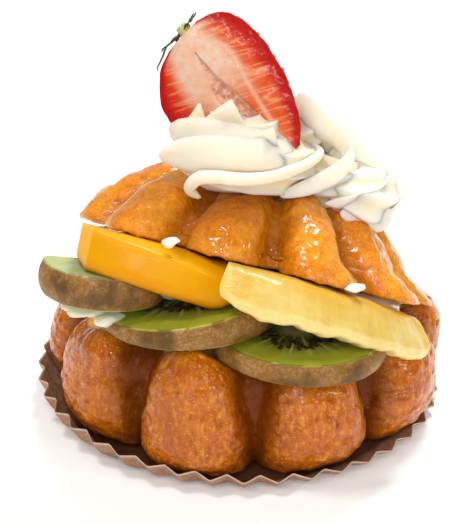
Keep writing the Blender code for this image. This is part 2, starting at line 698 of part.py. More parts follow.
def make_berry(mat, grow=0.0, name="strawberry_half"):
    """Half a strawberry: a flat cut face with a hollow, a round back."""
    top, tip, along, across, face = berry_frame()
    length = (tip - top).length
    count = 28
    rings = []
    for u, share in BERRY_ROWS:
        thick = BERRY_THICK * (share + grow / BERRY_HALF_WIDTH)
        fuller = BERRY_FULLER * math.exp(-((u - 0.27) / 0.17) ** 2)
        ring = []
        for k in range(count):
            a = 2 * math.pi * k / count
            half = BERRY_HALF_WIDTH * share * (1 + fuller * max(0.0, -math.cos(a))) + grow
            x, y = half * math.cos(a), math.sin(a)
            if y < 0:
                y = thick * y
            else:
                y = 0.0012 * y * (1 - (x / half) ** 2)
                if grow == 0.0 and 0.12 < u < 0.75:
                    middle = math.exp(-((x + 0.0011) / 0.0020) ** 2)
                    y -= BERRY_HOLLOW * middle * math.sin((u - 0.12) / 0.63 * math.pi)
                y += grow
            x -= BERRY_SHIFT * math.sin(math.pi * u)
            point = top + along * (length * u) + across * x + face * y
            ring.append(tuple(point))
        rings.append(np.array(ring))
    verts, faces = loft(rings)
    obj = add_object(name, verts, faces, mat)
    triangulate(obj)
    smooth(obj, 40.0)
    return obj


def make_calyx(mat):
    """Stump of the stalk and thin sepals that lie along the shoulder of the berry."""
    top, tip, along, across, face = berry_frame()
    length = (tip - top).length
    shares = [share for u, share in BERRY_ROWS[:5]]
    places = [u for u, share in BERRY_ROWS[:5]]
    rings = []
    count = 42
    # reach from the stalk, height over the shoulder, how far the outline is drawn into sepals
    for reach, height, sepal in ((0.0010, 0.0034, 0.0), (0.0012, 0.0011, 0.0), (0.0030, 0.0008, 0.4),
                                 (0.0072, 0.0008, 1.0), (0.0078, 0.0006, 1.0), (0.0072, 0.0004, 1.0),
                                 (0.0030, 0.0004, 0.4)):
        ring = []
        for k in range(count):
            a = 2 * math.pi * k / count
            r = reach * (1 + sepal * CALYX_STAR * (math.cos(CALYX_SEPALS * a) - 0.6))
            depth = math.sin(a) * (0.77 if math.sin(a) < 0 else 0.10)
            fall = float(np.interp(r / BERRY_HALF_WIDTH, shares, places)) * length
            point = (top + along * (fall - height - CALYX_LIFT) + across * (r * math.cos(a))
                     + face * (r * depth - CALYX_BACK))
            ring.append(tuple(point))
        rings.append(np.array(ring))
    verts, faces = loft(rings)
    obj = add_object("strawberry_calyx", verts, faces, mat)
    triangulate(obj)
    smooth(obj, 40.0)
    return obj


def grow_mesh(obj, distance):
    """Move every point of the object outward by a distance."""
    normals = [v.normal.copy() for v in obj.data.vertices]
    for vert, normal in zip(obj.data.vertices, normals):
        vert.co = vert.co + normal * distance


def grown_copy(source, distance):
    """A copy of a piece, grown by a clearance, used as a cutter."""
    obj = bpy.data.objects.new("cutter", source.data.copy())
    bpy.context.scene.collection.objects.link(obj)
    grow_mesh(obj, distance)
    return obj


def centre_footprint():
    """Move every piece so that the middle of the footprint lies on the origin."""
    points = np.array([v.co for obj in bpy.data.objects for v in obj.data.vertices])
    low, high = points.min(axis=0), points.max(axis=0)
    shift = Matrix.Translation((-(low[0] + high[0]) / 2, -(low[1] + high[1]) / 2, -low[2]))
    for obj in bpy.data.objects:
        obj.data.transform(shift)
    print("footprint moved by", [round(v, 6) for v in shift.translation])


clear_scene()
CRUST = material("crust", (0.60, 0.23, 0.04), 0.30)
CREAM = material("cream", (0.92, 0.88, 0.76), 0.55)
KIWI = material("kiwi", (0.34, 0.40, 0.10), 0.35)
MANGO = material("mango", (0.95, 0.50, 0.02), 0.35)
PINE = material("pineapple", (0.85, 0.72, 0.25), 0.40)
BERRY = material("strawberry", (0.72, 0.06, 0.03), 0.30)
LEAF = material("sepals", (0.25, 0.27, 0.06), 0.60)
CASE = material("paper", (0.36, 0.20, 0.12), 0.80)

make_case(CASE)
cake = make_cake(CRUST)
kiwi_left = make_kiwi("kiwi_slice_left", KIWI, **KIWI_LEFT)
kiwi_middle = make_kiwi("kiwi_slice_middle", KIWI, **KIWI_MIDDLE)
kiwi_right = make_kiwi("kiwi_slice_right", KIWI, **KIWI_RIGHT)
mango = make_mango(MANGO)
cut_clear(mango, [kiwi_left, kiwi_middle, cake])
pineapple = make_pineapple(PINE)
cut_clear(pineapple, [mango, kiwi_middle, kiwi_right, cake])
filling = make_filling(CREAM, [
    make_kiwi("cutter", None, **KIWI_LEFT, grow=FILL_CLEAR, below=0.001),
    make_kiwi("cutter", None, **KIWI_MIDDLE, grow=FILL_CLEAR, below=0.001),
    make_kiwi("cutter", None, **KIWI_RIGHT, grow=FILL_CLEAR, below=0.004),
    make_mango(None, FILL_CLEAR, "cutter"),
    make_pineapple(None, FILL_CLEAR, "cutter"),
])
cut_clear(filling, [cake, kiwi_left, kiwi_middle, kiwi_right, mango, pineapple], 2 * GAP)
berry = make_berry(BERRY)
calyx = make_calyx(LEAF)
cut_clear(calyx, [berry])

lid = upper_part("lid", None)
lid.data.transform(CAKE_SHIFT)
front = make_rosette("cream_rosette_front", CREAM, FRONT_COILS, FRONT_FOLDS, PEAKS, [lid, berry])
make_rosette("cream_rosette_back", CREAM, BACK_COILS, BACK_FOLDS, (), [lid, berry, front])
bpy.data.objects.remove(lid, do_unlink=True)
centre_footprint()
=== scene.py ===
import math

import bpy
import numpy as np
from mathutils import Matrix, Vector


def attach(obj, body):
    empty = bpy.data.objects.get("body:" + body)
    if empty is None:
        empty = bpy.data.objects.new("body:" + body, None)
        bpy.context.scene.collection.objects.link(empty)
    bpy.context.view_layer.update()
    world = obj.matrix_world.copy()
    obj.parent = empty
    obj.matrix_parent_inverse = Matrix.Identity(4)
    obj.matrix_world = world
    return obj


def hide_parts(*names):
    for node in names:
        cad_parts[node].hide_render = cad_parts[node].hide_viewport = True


# Looks of a rum baba with cream and fruit in a paper case. Metres, +Z up.
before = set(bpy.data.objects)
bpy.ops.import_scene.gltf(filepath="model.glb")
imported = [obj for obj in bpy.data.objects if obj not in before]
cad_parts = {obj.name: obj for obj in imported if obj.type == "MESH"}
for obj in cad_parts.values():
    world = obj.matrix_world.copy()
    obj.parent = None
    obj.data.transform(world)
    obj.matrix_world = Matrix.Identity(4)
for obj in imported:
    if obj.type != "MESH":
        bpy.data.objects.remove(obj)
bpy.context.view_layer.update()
shift = np.array([0.00264, -0.000783, 0.0])   # from the cake's own numbers to the frame
tau = 2 * math.pi


# numbers over whole arrays

def softNoise(points, cell, seed):
    # random numbers on a cubic lattice, blended by a smooth step between the 8 corners: -1 to 1
    p = np.asarray(points, float) / cell + 1000.0
    base = np.floor(p)
    f = p - base
    f = f * f * (3 - 2 * f)
    base = base.astype(np.int64)
    total = np.zeros(p.shape[:-1])
    for corner in range(8):
        bits = np.array([corner & 1, corner >> 1 & 1, corner >> 2 & 1])
        k = base + bits
        mixed = (k[..., 0] * 73856093) ^ (k[..., 1] * 19349663) ^ (k[..., 2] * 83492791) ^ (seed * 2654435)
        mixed = (mixed ^ (mixed >> 13)) * 1274126177 & 0x7FFFFFFF
        mixed = mixed ^ (mixed >> 16)
        value = (mixed & 0xFFFF) / 32767.5 - 1
        weight = np.prod(np.where(bits == 1, f, 1 - f), axis=-1)
        total += weight * value
    return total


def smoothCurve(x, xs, ys):
    # cubic through (xs, ys) with slopes from the neighbours, so that a profile has no corners
    xs, ys = np.asarray(xs, float), np.asarray(ys, float)
    slopes = np.gradient(ys, xs)
    x = np.clip(x, xs[0], xs[-1])
    k = np.clip(np.searchsorted(xs, x, side="right") - 1, 0, len(xs) - 2)
    h = xs[k + 1] - xs[k]
    t = (x - xs[k]) / h
    return ((2 * t**3 - 3 * t**2 + 1) * ys[k] + (t**3 - 2 * t**2 + t) * h * slopes[k]
            + (3 * t**2 - 2 * t**3) * ys[k + 1] + (t**3 - t**2) * h * slopes[k + 1])


def smoothStep(x, low, high):
    t = np.clip((x - low) / (high - low), 0, 1)
    return t * t * (3 - 2 * t)


def unit(v):
    return v / np.maximum(np.linalg.norm(v, axis=-1, keepdims=True), 1e-12)


def gridNormals(grid):
    # cross product of the differences along the rows and round the columns
    du = np.roll(grid, -1, axis=1) - np.roll(grid, 1, axis=1)
    dv = np.gradient(grid, axis=0)
    return unit(np.cross(du, dv))


def fromMiddle(grid):
    # from the middle of each ring to its points
    return grid - grid.mean(axis=1, keepdims=True)


def outwardNormals(grid):
    normals = gridNormals(grid)
    inside = np.mean(np.sum(normals * fromMiddle(grid), axis=-1)) < 0
    return -normals if inside else normals


def ruffle(grid, cell, seed, high):
    # each ring's points pushed out or in by soft noise
    return grid + unit(fromMiddle(grid)) * (softNoise(grid, cell, seed) * high)[..., None]


def spread(value, rows, cols, parts=()):
    # a value for each grid point, then the mean of the first and of the last ring for the closing points
    value = np.broadcast_to(value, (rows, cols, *parts))
    ends = [value[row].mean(axis=0)[None] for row in (0, rows - 1)]
    return np.concatenate([value.reshape(rows * cols, *parts), *ends])


def meshObject(name, verts, faces, mat, values=None, uv=None, flip=False):
    mesh = bpy.data.meshes.new(name)
    if flip:
        faces = [f[::-1] for f in faces]
    mesh.from_pydata(np.asarray(verts).tolist(), [], faces)
    for key, value in (values or {}).items():
        mesh.attributes.new(key, "FLOAT", "POINT").data.foreach_set("value", np.asarray(value, np.float32))
    if uv is not None:
        corner = np.zeros(len(mesh.loops), np.int32)
        mesh.loops.foreach_get("vertex_index", corner)
        mesh.uv_layers.new(name="pattern").data.foreach_set("uv", uv[corner].astype(np.float32).ravel())
    mesh.polygons.foreach_set("use_smooth", np.ones(len(mesh.polygons), bool))
    mesh.materials.append(mat)
    mesh.update()
    obj = bpy.data.objects.new(name, mesh)
    bpy.context.scene.collection.objects.link(obj)
    return obj


def joinGrids(name, parts, mat, uv=None, flip=False):
    # closed grids in one mesh, (grid, values) each, with the same value names: rows of rings make quads, and
    # each end is closed by a fan to the middle of its ring
    allVerts, allFaces, allValues, count = [], [], {}, 0
    for grid, values in parts:
        rows, cols = grid.shape[:2]
        r, c = np.meshgrid(np.arange(rows - 1), np.arange(cols), indexing="ij")
        d = (c + 1) % cols
        quads = np.stack([r * cols + c, r * cols + d, (r + 1) * cols + d, (r + 1) * cols + c], axis=-1)
        ring = np.arange(cols)
        following = (ring + 1) % cols
        first, last = np.full(cols, rows * cols), np.full(cols, rows * cols + 1)
        foot = (rows - 1) * cols
        for faces in (quads.reshape(-1, 4), np.stack([first, following, ring], axis=1),
                      np.stack([last, foot + ring, foot + following], axis=1)):
            allFaces += (faces + count).tolist()
        for key, value in values.items():
            allValues.setdefault(key, []).append(spread(value, rows, cols))
        allVerts.append(spread(grid, rows, cols, (3,)))
        count += len(allVerts[-1])
    values = {key: np.concatenate(value) for key, value in allValues.items()}
    return meshObject(name, np.vstack(allVerts), allFaces, mat, values, uv, flip)


def gridObject(name, grid, mat, values, uv=None, flip=False):
    if uv is not None:
        uv = spread(uv, *grid.shape[:2], (2,))
    return joinGrids(name, [(grid, values)], mat, uv, flip)


def settle(obj, slot, *nodes):
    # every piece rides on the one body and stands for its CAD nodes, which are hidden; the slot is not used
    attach(obj, "root")
    if nodes:
        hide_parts(*nodes)
    return obj


# nodes of the materials

def addMath(nodes, operation, second=None):
    node = nodes.new("ShaderNodeMath")
    node.operation = operation
    if second is not None:
        node.inputs[1].default_value = second
    return node


def addNoise(nodes, detail, distortion=0.0):
    node = nodes.new("ShaderNodeTexNoise")
    node.inputs["Detail"].default_value = detail
    node.inputs["Distortion"].default_value = distortion
    return node


def addRange(nodes, low, high, toLow, toHigh):
    node = nodes.new("ShaderNodeMapRange")
    node.interpolation_type = "SMOOTHSTEP"
    for key, value in (("From Min", low), ("From Max", high), ("To Min", toLow), ("To Max", toHigh)):
        node.inputs[key].default_value = value
    return node


def linkAll(group, *pairs):
    for source, target in pairs:
        group.links.new(source, target)


def newGroup(name, output, **sizes):
    # a group with one vector and some numbers going in and one number coming out
    group = bpy.data.node_groups.new(name, "ShaderNodeTree")
    face = group.interface
    face.new_socket("Vector", in_out="INPUT", socket_type="NodeSocketVector")
    for label, value in sizes.items():
        socket = face.new_socket(label.replace("_", " "), in_out="INPUT", socket_type="NodeSocketFloat")
        socket.default_value = value
    face.new_socket(output, in_out="OUTPUT", socket_type="NodeSocketFloat")
    given = group.nodes.new("NodeGroupInput").outputs
    return group, given, group.nodes.new("NodeGroupOutput").inputs[output]


def makeMottleGroup():
    # slow and fast blotches mixed into one mask between 0 and 1
    group, given, mask = newGroup("mottle", "Mask", Size=150.0, Fine=0.4, Contrast=1.0)
    slow = addNoise(group.nodes, 3.0)
    fast = addNoise(group.nodes, 4.0)
    finer = addMath(group.nodes, "MULTIPLY", 5.3)
    blend = group.nodes.new("ShaderNodeMix")
    centre = addMath(group.nodes, "SUBTRACT", 0.5)
    wide = addMath(group.nodes, "MULTIPLY")
    back = addMath(group.nodes, "ADD", 0.5)
    back.use_clamp = True
    linkAll(group, (given["Vector"], slow.inputs["Vector"]), (given["Vector"], fast.inputs["Vector"]),
            (given["Size"], slow.inputs["Scale"]), (given["Size"], finer.inputs[0]),
            (finer.outputs[0], fast.inputs["Scale"]), (given["Fine"], blend.inputs[0]),
            (slow.outputs[0], blend.inputs[2]), (fast.outputs[0], blend.inputs[3]),
            (blend.outputs[0], centre.inputs[0]), (centre.outputs[0], wide.inputs[0]),
            (given["Contrast"], wide.inputs[1]), (wide.outputs[0], back.inputs[0]), (back.outputs[0], mask))
    return group


def makeWetReliefGroup():
    # height of a wet skin: soft swells, thin crooked ridges of syrup and fine grain
    group, given, height = newGroup("wetRelief", "Height", Swell_Size=250.0, Ridge_Size=420.0, Ridge=0.5,
                                    Grain_Size=1500.0, Grain=0.2)
    swell = addNoise(group.nodes, 2.0)
    ridge = addNoise(group.nodes, 1.0, 0.6)
    grain = addNoise(group.nodes, 3.0)
    fold = addMath(group.nodes, "SUBTRACT", 0.5)
    size = addMath(group.nodes, "ABSOLUTE")
    thin = addRange(group.nodes, 0.0, 0.045, 1.0, 0.0)
    ridgeTimes = addMath(group.nodes, "MULTIPLY")
    grainTimes = addMath(group.nodes, "MULTIPLY")
    first = addMath(group.nodes, "ADD")
    second = addMath(group.nodes, "ADD")
    for node, label in ((swell, "Swell Size"), (ridge, "Ridge Size"), (grain, "Grain Size")):
        linkAll(group, (given["Vector"], node.inputs["Vector"]), (given[label], node.inputs["Scale"]))
    linkAll(group, (ridge.outputs[0], fold.inputs[0]), (fold.outputs[0], size.inputs[0]),
            (size.outputs[0], thin.inputs["Value"]), (thin.outputs[0], ridgeTimes.inputs[0]),
            (given["Ridge"], ridgeTimes.inputs[1]), (grain.outputs[0], grainTimes.inputs[0]),
            (given["Grain"], grainTimes.inputs[1]), (swell.outputs[0], first.inputs[0]),
            (ridgeTimes.outputs[0], first.inputs[1]), (first.outputs[0], second.inputs[0]),
            (grainTimes.outputs[0], second.inputs[1]), (second.outputs[0], height))
    return group


mottleGroup = makeMottleGroup()
wetReliefGroup = makeWetReliefGroup()


class Finish:
    # a material with its shader and short ways to add and link nodes
    def __init__(self, name, **sockets):
        self.mat = bpy.data.materials.new(name)
        self.mat.use_nodes = True
        self.nodes, self.links = self.mat.node_tree.nodes, self.mat.node_tree.links
        self.shader = self.nodes["Principled BSDF"]
        for key, value in sockets.items():
            self.shader.inputs[key.replace("_", " ")].default_value = value
        coords = self.nodes.new("ShaderNodeTexCoord")
        self.place = coords.outputs["Object"]
        self.pattern = coords.outputs["UV"]

    def link(self, source, target):
        self.links.new(source, target)

    def math(self, operation, a, b=0.0):
        node = addMath(self.nodes, operation)
        for socket, value in ((node.inputs[0], a), (node.inputs[1], b)):
            if isinstance(value, (int, float)):
                socket.default_value = value
            else:
                self.link(value, socket)
        return node.outputs[0]

    def attribute(self, name):
        node = self.nodes.new("ShaderNodeAttribute")
        node.attribute_name = name
        return node.outputs["Fac"]

    def noise(self, scale, detail=3.0, vector=None, distortion=0.0):
        node = addNoise(self.nodes, detail, distortion)
        node.inputs["Scale"].default_value = scale
        self.link(vector or self.place, node.inputs["Vector"])
        return node.outputs[0]

    def stretched(self, vector, scale):
        node = self.nodes.new("ShaderNodeMapping")
        node.inputs["Scale"].default_value = scale
        self.link(vector, node.inputs["Vector"])
        return node.outputs[0]

    def ramp(self, value, *stops):
        node = self.nodes.new("ShaderNodeValToRGB")
        band = node.color_ramp
        band.elements[0].position, band.elements[0].color = stops[0][0], (*stops[0][1], 1)
        band.elements[1].position, band.elements[1].color = stops[-1][0], (*stops[-1][1], 1)
        for place, colour in stops[1:-1]:
            band.elements.new(place).color = (*colour, 1)
        self.link(value, node.inputs["Fac"])
        return node.outputs["Color"]

    def range(self, value, low, high, toLow=0.0, toHigh=1.0):
        node = addRange(self.nodes, low, high, toLow, toHigh)
        self.link(value, node.inputs["Value"])
        return node.outputs[0]

    def vectorMath(self, operation, vector, second=(0.0, 0.0, 0.0)):
        node = self.nodes.new("ShaderNodeVectorMath")
        node.operation = operation
        node.inputs[1].default_value = second
        self.link(vector, node.inputs[0])
        return node.outputs

    def mix(self, factor, a, b):
        node = self.nodes.new("ShaderNodeMix")
        node.data_type = "RGBA"
        for socket, value in ((node.inputs[0], factor), (node.inputs[6], a), (node.inputs[7], b)):
            if isinstance(value, tuple):
                socket.default_value = (*value, 1)
            elif isinstance(value, (int, float)):
                socket.default_value = value
            else:
                self.link(value, socket)
        return node.outputs[2]

    def group(self, group, output, **values):
        node = self.nodes.new("ShaderNodeGroup")
        node.node_tree = group
        self.link(self.place, node.inputs["Vector"])
        for key, value in values.items():
            node.inputs[key.replace("_", " ")].default_value = value
        return node.outputs[output]

    def bump(self, height, strength, distance, target="Normal"):
        node = self.nodes.new("ShaderNodeBump")
        node.inputs["Strength"].default_value = strength
        node.inputs["Distance"].default_value = distance
        self.link(height, node.inputs["Height"])
        self.link(node.outputs[0], self.shader.inputs[target])

    def colour(self, value):
        self.link(value, self.shader.inputs["Base Color"])

    def rough(self, value):
        self.link(value, self.shader.inputs["Roughness"])


# fluted cake, cut and hinged open

cakeForm = dict(
    centre=(-0.0009, 0.0012), bottom=0.0009,
    # each half's hollow sets how strongly painted shade darkens its grooves
    base=dict(lobes=9, groove=math.radians(3.0), scale=1.057, columns=62, seed=11, wallRows=110,
              edge=(0.95, 0.72), soakAndShade=1.0, hollow=0.95, pitted=1.0, rimRound=0.0062),
    lid=dict(lobes=10, groove=math.radians(4.1), scale=1.002, columns=52, seed=4, wallRows=120,
             edge=(0.95, 0.80), soakAndShade=0.0, hollow=0.45, pitted=0.25, rimRound=0.0013),
    rows=((0.0000, 0.0390, 0.0060), (0.0017, 0.0428, 0.0075), (0.0050, 0.0456, 0.0088),
          (0.0100, 0.0471, 0.0092), (0.0180, 0.0468, 0.0092), (0.0255, 0.0455, 0.0088),
          (0.0300, 0.0430, 0.0082), (0.0345, 0.0392, 0.0074), (0.0385, 0.0348, 0.0062),
          (0.0415, 0.0302, 0.0046), (0.0435, 0.0252, 0.0030), (0.0440, 0.0215, 0.0018),
          (0.0422, 0.0150, 0.0008), (0.0412, 0.0070, 0.0000)),
    lobePower=2.8, lobeRound=0.58, grooveMore=1.05, soften=0.09,
    cutHeight=0.0248, cutSlope=0.093, hingeDirection=math.radians(60.1), hingeOffset=0.0242,
    lidAngle=math.radians(24.0), narrow=0.15, narrowRise=0.006,
    lips=((-0.0130, -0.0460, 0.0135, 0.0072), (-0.0360, -0.0330, 0.0140, 0.0048),
          (-0.0480, 0.0050, 0.0180, -0.0034)), wallPart=12, closing=9, foot=7, face=43, flatFoot=0.0016,
    lump=0.00050, dimple=0.00030, ridge=0.00022, pit=0.0007, crumb=0.0005)

hinge = np.array([math.cos(cakeForm["hingeDirection"]), math.sin(cakeForm["hingeDirection"]), 0.0])
cutNormal = unit(np.array([cakeForm["cutSlope"] * hinge[0], cakeForm["cutSlope"] * hinge[1], 1.0]))
hingePoint = hinge * cakeForm["hingeOffset"]
hingePoint[2] = cakeForm["cutHeight"] - cakeForm["cutSlope"] * cakeForm["hingeOffset"]
hingeAxis = unit(np.cross(cutNormal, hinge))
lidTurn = np.array(Matrix.Rotation(cakeForm["lidAngle"], 3, Vector(hingeAxis)))
lidNormal = lidTurn @ cutNormal
cakeShift = np.array([*cakeForm["centre"], 0.0]) + shift


def cutHeight(x, y):
    return cakeForm["cutHeight"] - cakeForm["cutSlope"] * (x * hinge[0] + y * hinge[1])


def turnLid(points):
    # narrowed toward +X above the cut, then turned about the hinge line
    x, y, z = points[..., 0], points[..., 1], points[..., 2]
    share = np.clip((z - cutHeight(x, y)) / cakeForm["narrowRise"], 0, 1)
    x = np.where(x > 0, x * (1 - cakeForm["narrow"] * share), x)
    moved = np.stack([x, y, z], axis=-1) - hingePoint
    return moved @ lidTurn.T + hingePoint


def lidPlace(x, y, above):
    # where a point above the cut of the closed cake goes when the lid is open
    p = np.stack([x, y, cutHeight(x, y) + above], axis=-1) - hingePoint
    return p @ lidTurn.T + hingePoint + cakeShift


rowsTable = np.array(cakeForm["rows"])
rowsAlong = np.concatenate([[0], np.cumsum(np.hypot(*np.diff(rowsTable[:, :2], axis=0).T))])
wallHeights = rowsTable[:cakeForm["wallPart"], 0]   # up to where the wall turns in over the top


def wallPoint(form, t, turn):
    # radius = lobe radius - groove depth x (1 - shape); shape = (1 - (|across| / edge)^power)^round, averaged
    # over a small angle so that the valley is round; each lobe swells its own way
    height = smoothCurve(t, rowsAlong, rowsTable[:, 0])
    radius = smoothCurve(t, rowsAlong, rowsTable[:, 1])
    groove = np.maximum(smoothCurve(t, rowsAlong, rowsTable[:, 2]), 0)
    rng = np.random.default_rng(form["seed"])
    swellOf = rng.uniform(-0.0007, 0.0007, form["lobes"])
    leanOf = rng.uniform(-0.0005, 0.0005, form["lobes"])
    lobe = np.floor(turn * form["lobes"] / tau + 1e-6).astype(int) % form["lobes"]
    across = (turn * form["lobes"] / tau) % 1.0 * 2 - 1
    edge = form["edge"][0] + (form["edge"][1] - form["edge"][0]) * smoothStep(height, 0.004, 0.030)
    shape = np.zeros(np.broadcast(across, edge).shape)
    for step in np.linspace(-1, 1, 7):
        near = np.abs((across + 1 + step * cakeForm["soften"]) % 2 - 1)
        s = np.minimum(near / edge, 1)
        shape = shape + (1 - s ** cakeForm["lobePower"]) ** cakeForm["lobeRound"] / 7
    r = radius * form["scale"] - cakeForm["grooveMore"] * groove * (1 - shape)
    r = r + shape * np.minimum(1, groove / 0.006) * (swellOf[lobe] + leanOf[lobe] * np.sin(height * 180))
    z = cakeForm["bottom"] + height - np.where(height > 0.03, 0.0014 * (1 - shape), 0)
    angle = form["groove"] + turn
    return np.stack([r * np.sin(angle), -r * np.cos(angle), z], axis=-1), shape


def cutAlong(form, turn):
    # place along the profile where the wall meets the sloping cut, found in four steps
    height = np.full_like(turn, cakeForm["cutHeight"])
    for _ in range(4):
        t = np.interp(height, wallHeights, rowsAlong[:len(wallHeights)])
        p, _shape = wallPoint(form, t, turn)
        height = cutHeight(p[:, 0], p[:, 1]) - cakeForm["bottom"]
    return np.interp(height, wallHeights, rowsAlong[:len(wallHeights)])


def roughSkin(points, normals, seed, share, pitted):
    # baked skin: broad lumps, small dimples, crooked ridges and scattered pits, pushed along the normal
    lump = softNoise(points, 0.0075, seed) * cakeForm["lump"]
    dimple = softNoise(points, 0.0028, seed + 1) * cakeForm["dimple"]
    fine = softNoise(points, 0.0013, seed + 2) * cakeForm["dimple"] * 0.45
    pits = smoothStep(softNoise(points, 0.0021, seed + 3), 0.52, 0.85) * cakeForm["pit"]
    ridge = (1 - smoothStep(np.abs(softNoise(points, 0.0042, seed + 4)), 0.0, 0.30)) * cakeForm["ridge"]
    return points + normals * ((lump + dimple + fine + ridge - pits * pitted) * share)[..., None]


def raiseLips(grid):
    # the upper edge of the base swells up, or sags, round a few places
    x, y, z = grid[..., 0], grid[..., 1], grid[..., 2]
    share = np.clip((z - 0.010) / (cutHeight(x, y) - 0.010), 0, 1)
    for lipX, lipY, reach, height in cakeForm["lips"]:
        away = np.hypot(x - lipX, y - lipY) / reach
        z = z + np.where(away < 1, height * share * np.cos(np.minimum(away, 1) * math.pi / 2) ** 2, 0)
    return np.stack([x, y, z], axis=-1)


def makeCakeHalf(name, form, upper, mat):
    # rows run over the outside (or inside) and then over the cut face to its middle
    columns = form["lobes"] * form["columns"]
    turn = (np.arange(columns) + 0.5) * tau / columns
    cut = cutAlong(form, turn)
    s = np.linspace(0, 1, form["wallRows"])[:, None]
    t = cut + (rowsAlong[-1] - cut) * s if upper else cut * s
    wall, shape = wallPoint(form, t, np.broadcast_to(turn, t.shape))
    # the rim is rounded: drawn in toward the middle over the last stretch before the cut
    pull = 1 - np.clip(np.abs(t - cut) / form["rimRound"], 0, 1)
    middle = np.array([0, 0, 1.0]) * wall
    wall = wall + unit(middle - wall) * (form["rimRound"] * 0.5 * pull ** 2)[..., None]
    if upper:
        closing = wall[-1].mean(axis=0)
        inner = np.linspace(1, 0.02, cakeForm["closing"] + 1)[1:, None, None]
        wall = np.concatenate([wall, closing + (wall[-1:] - closing) * inner])
        shape = np.concatenate([shape, np.repeat(shape[-1:], cakeForm["closing"], axis=0)])
        rim = wall[0]
    else:
        foot = wall[0] * [0, 0, 1]
        inner = np.linspace(0.02, 1, cakeForm["foot"] + 1)[:-1, None, None]
        wall = np.concatenate([foot + (wall[:1] - foot) * inner, wall])
        shape = np.concatenate([np.repeat(shape[:1], cakeForm["foot"], axis=0), shape])
        rim = wall[-1]
    # cut face: the rim drawn in toward the middle, on the plane of the cut
    inward = np.linspace(1, 0.02, cakeForm["face"] + 1)[1:, None, None] ** 0.85
    face = rim * inward
    face[..., 2] = cutHeight(face[..., 0], face[..., 1])
    order = -1 if upper else 1
    grid = np.concatenate([wall, face[::order]][::order])
    shape = np.concatenate([shape, np.ones(face.shape[:2])][::order])
    isCut = np.concatenate([np.zeros(len(wall)), np.ones(len(face))][::order])
    isCut = np.broadcast_to(isCut[:, None], shape.shape)
    grid = turnLid(grid) if upper else raiseLips(grid)
    grid = grid + cakeShift
    normals = gridNormals(grid)
    # coarse torn crumb on the cut; what stands on the paper stays flat
    crumb = softNoise(grid, 0.0022, 31) * cakeForm["crumb"] + softNoise(grid, 0.0009, 32) * 0.0002
    share = np.where(grid[..., 2] < cakeForm["flatFoot"], 0.0, 1.0) * (1 - isCut)
    grid = roughSkin(grid, normals, form["seed"], share, form["pitted"])
    grid = grid + normals * (crumb * isCut)[..., None]
    brown = softNoise(grid, 0.016, form["seed"] + 7)
    # groove: how deep a point lies in the valley between lobes, where the crust finish paints shade
    return gridObject(name, grid, mat, dict(groove=(1 - shape) * form["hollow"], cut=isCut,
                                            brown=brown * 0.5 + 0.5, soakAndShade=np.full(shape.shape, form["soakAndShade"])))


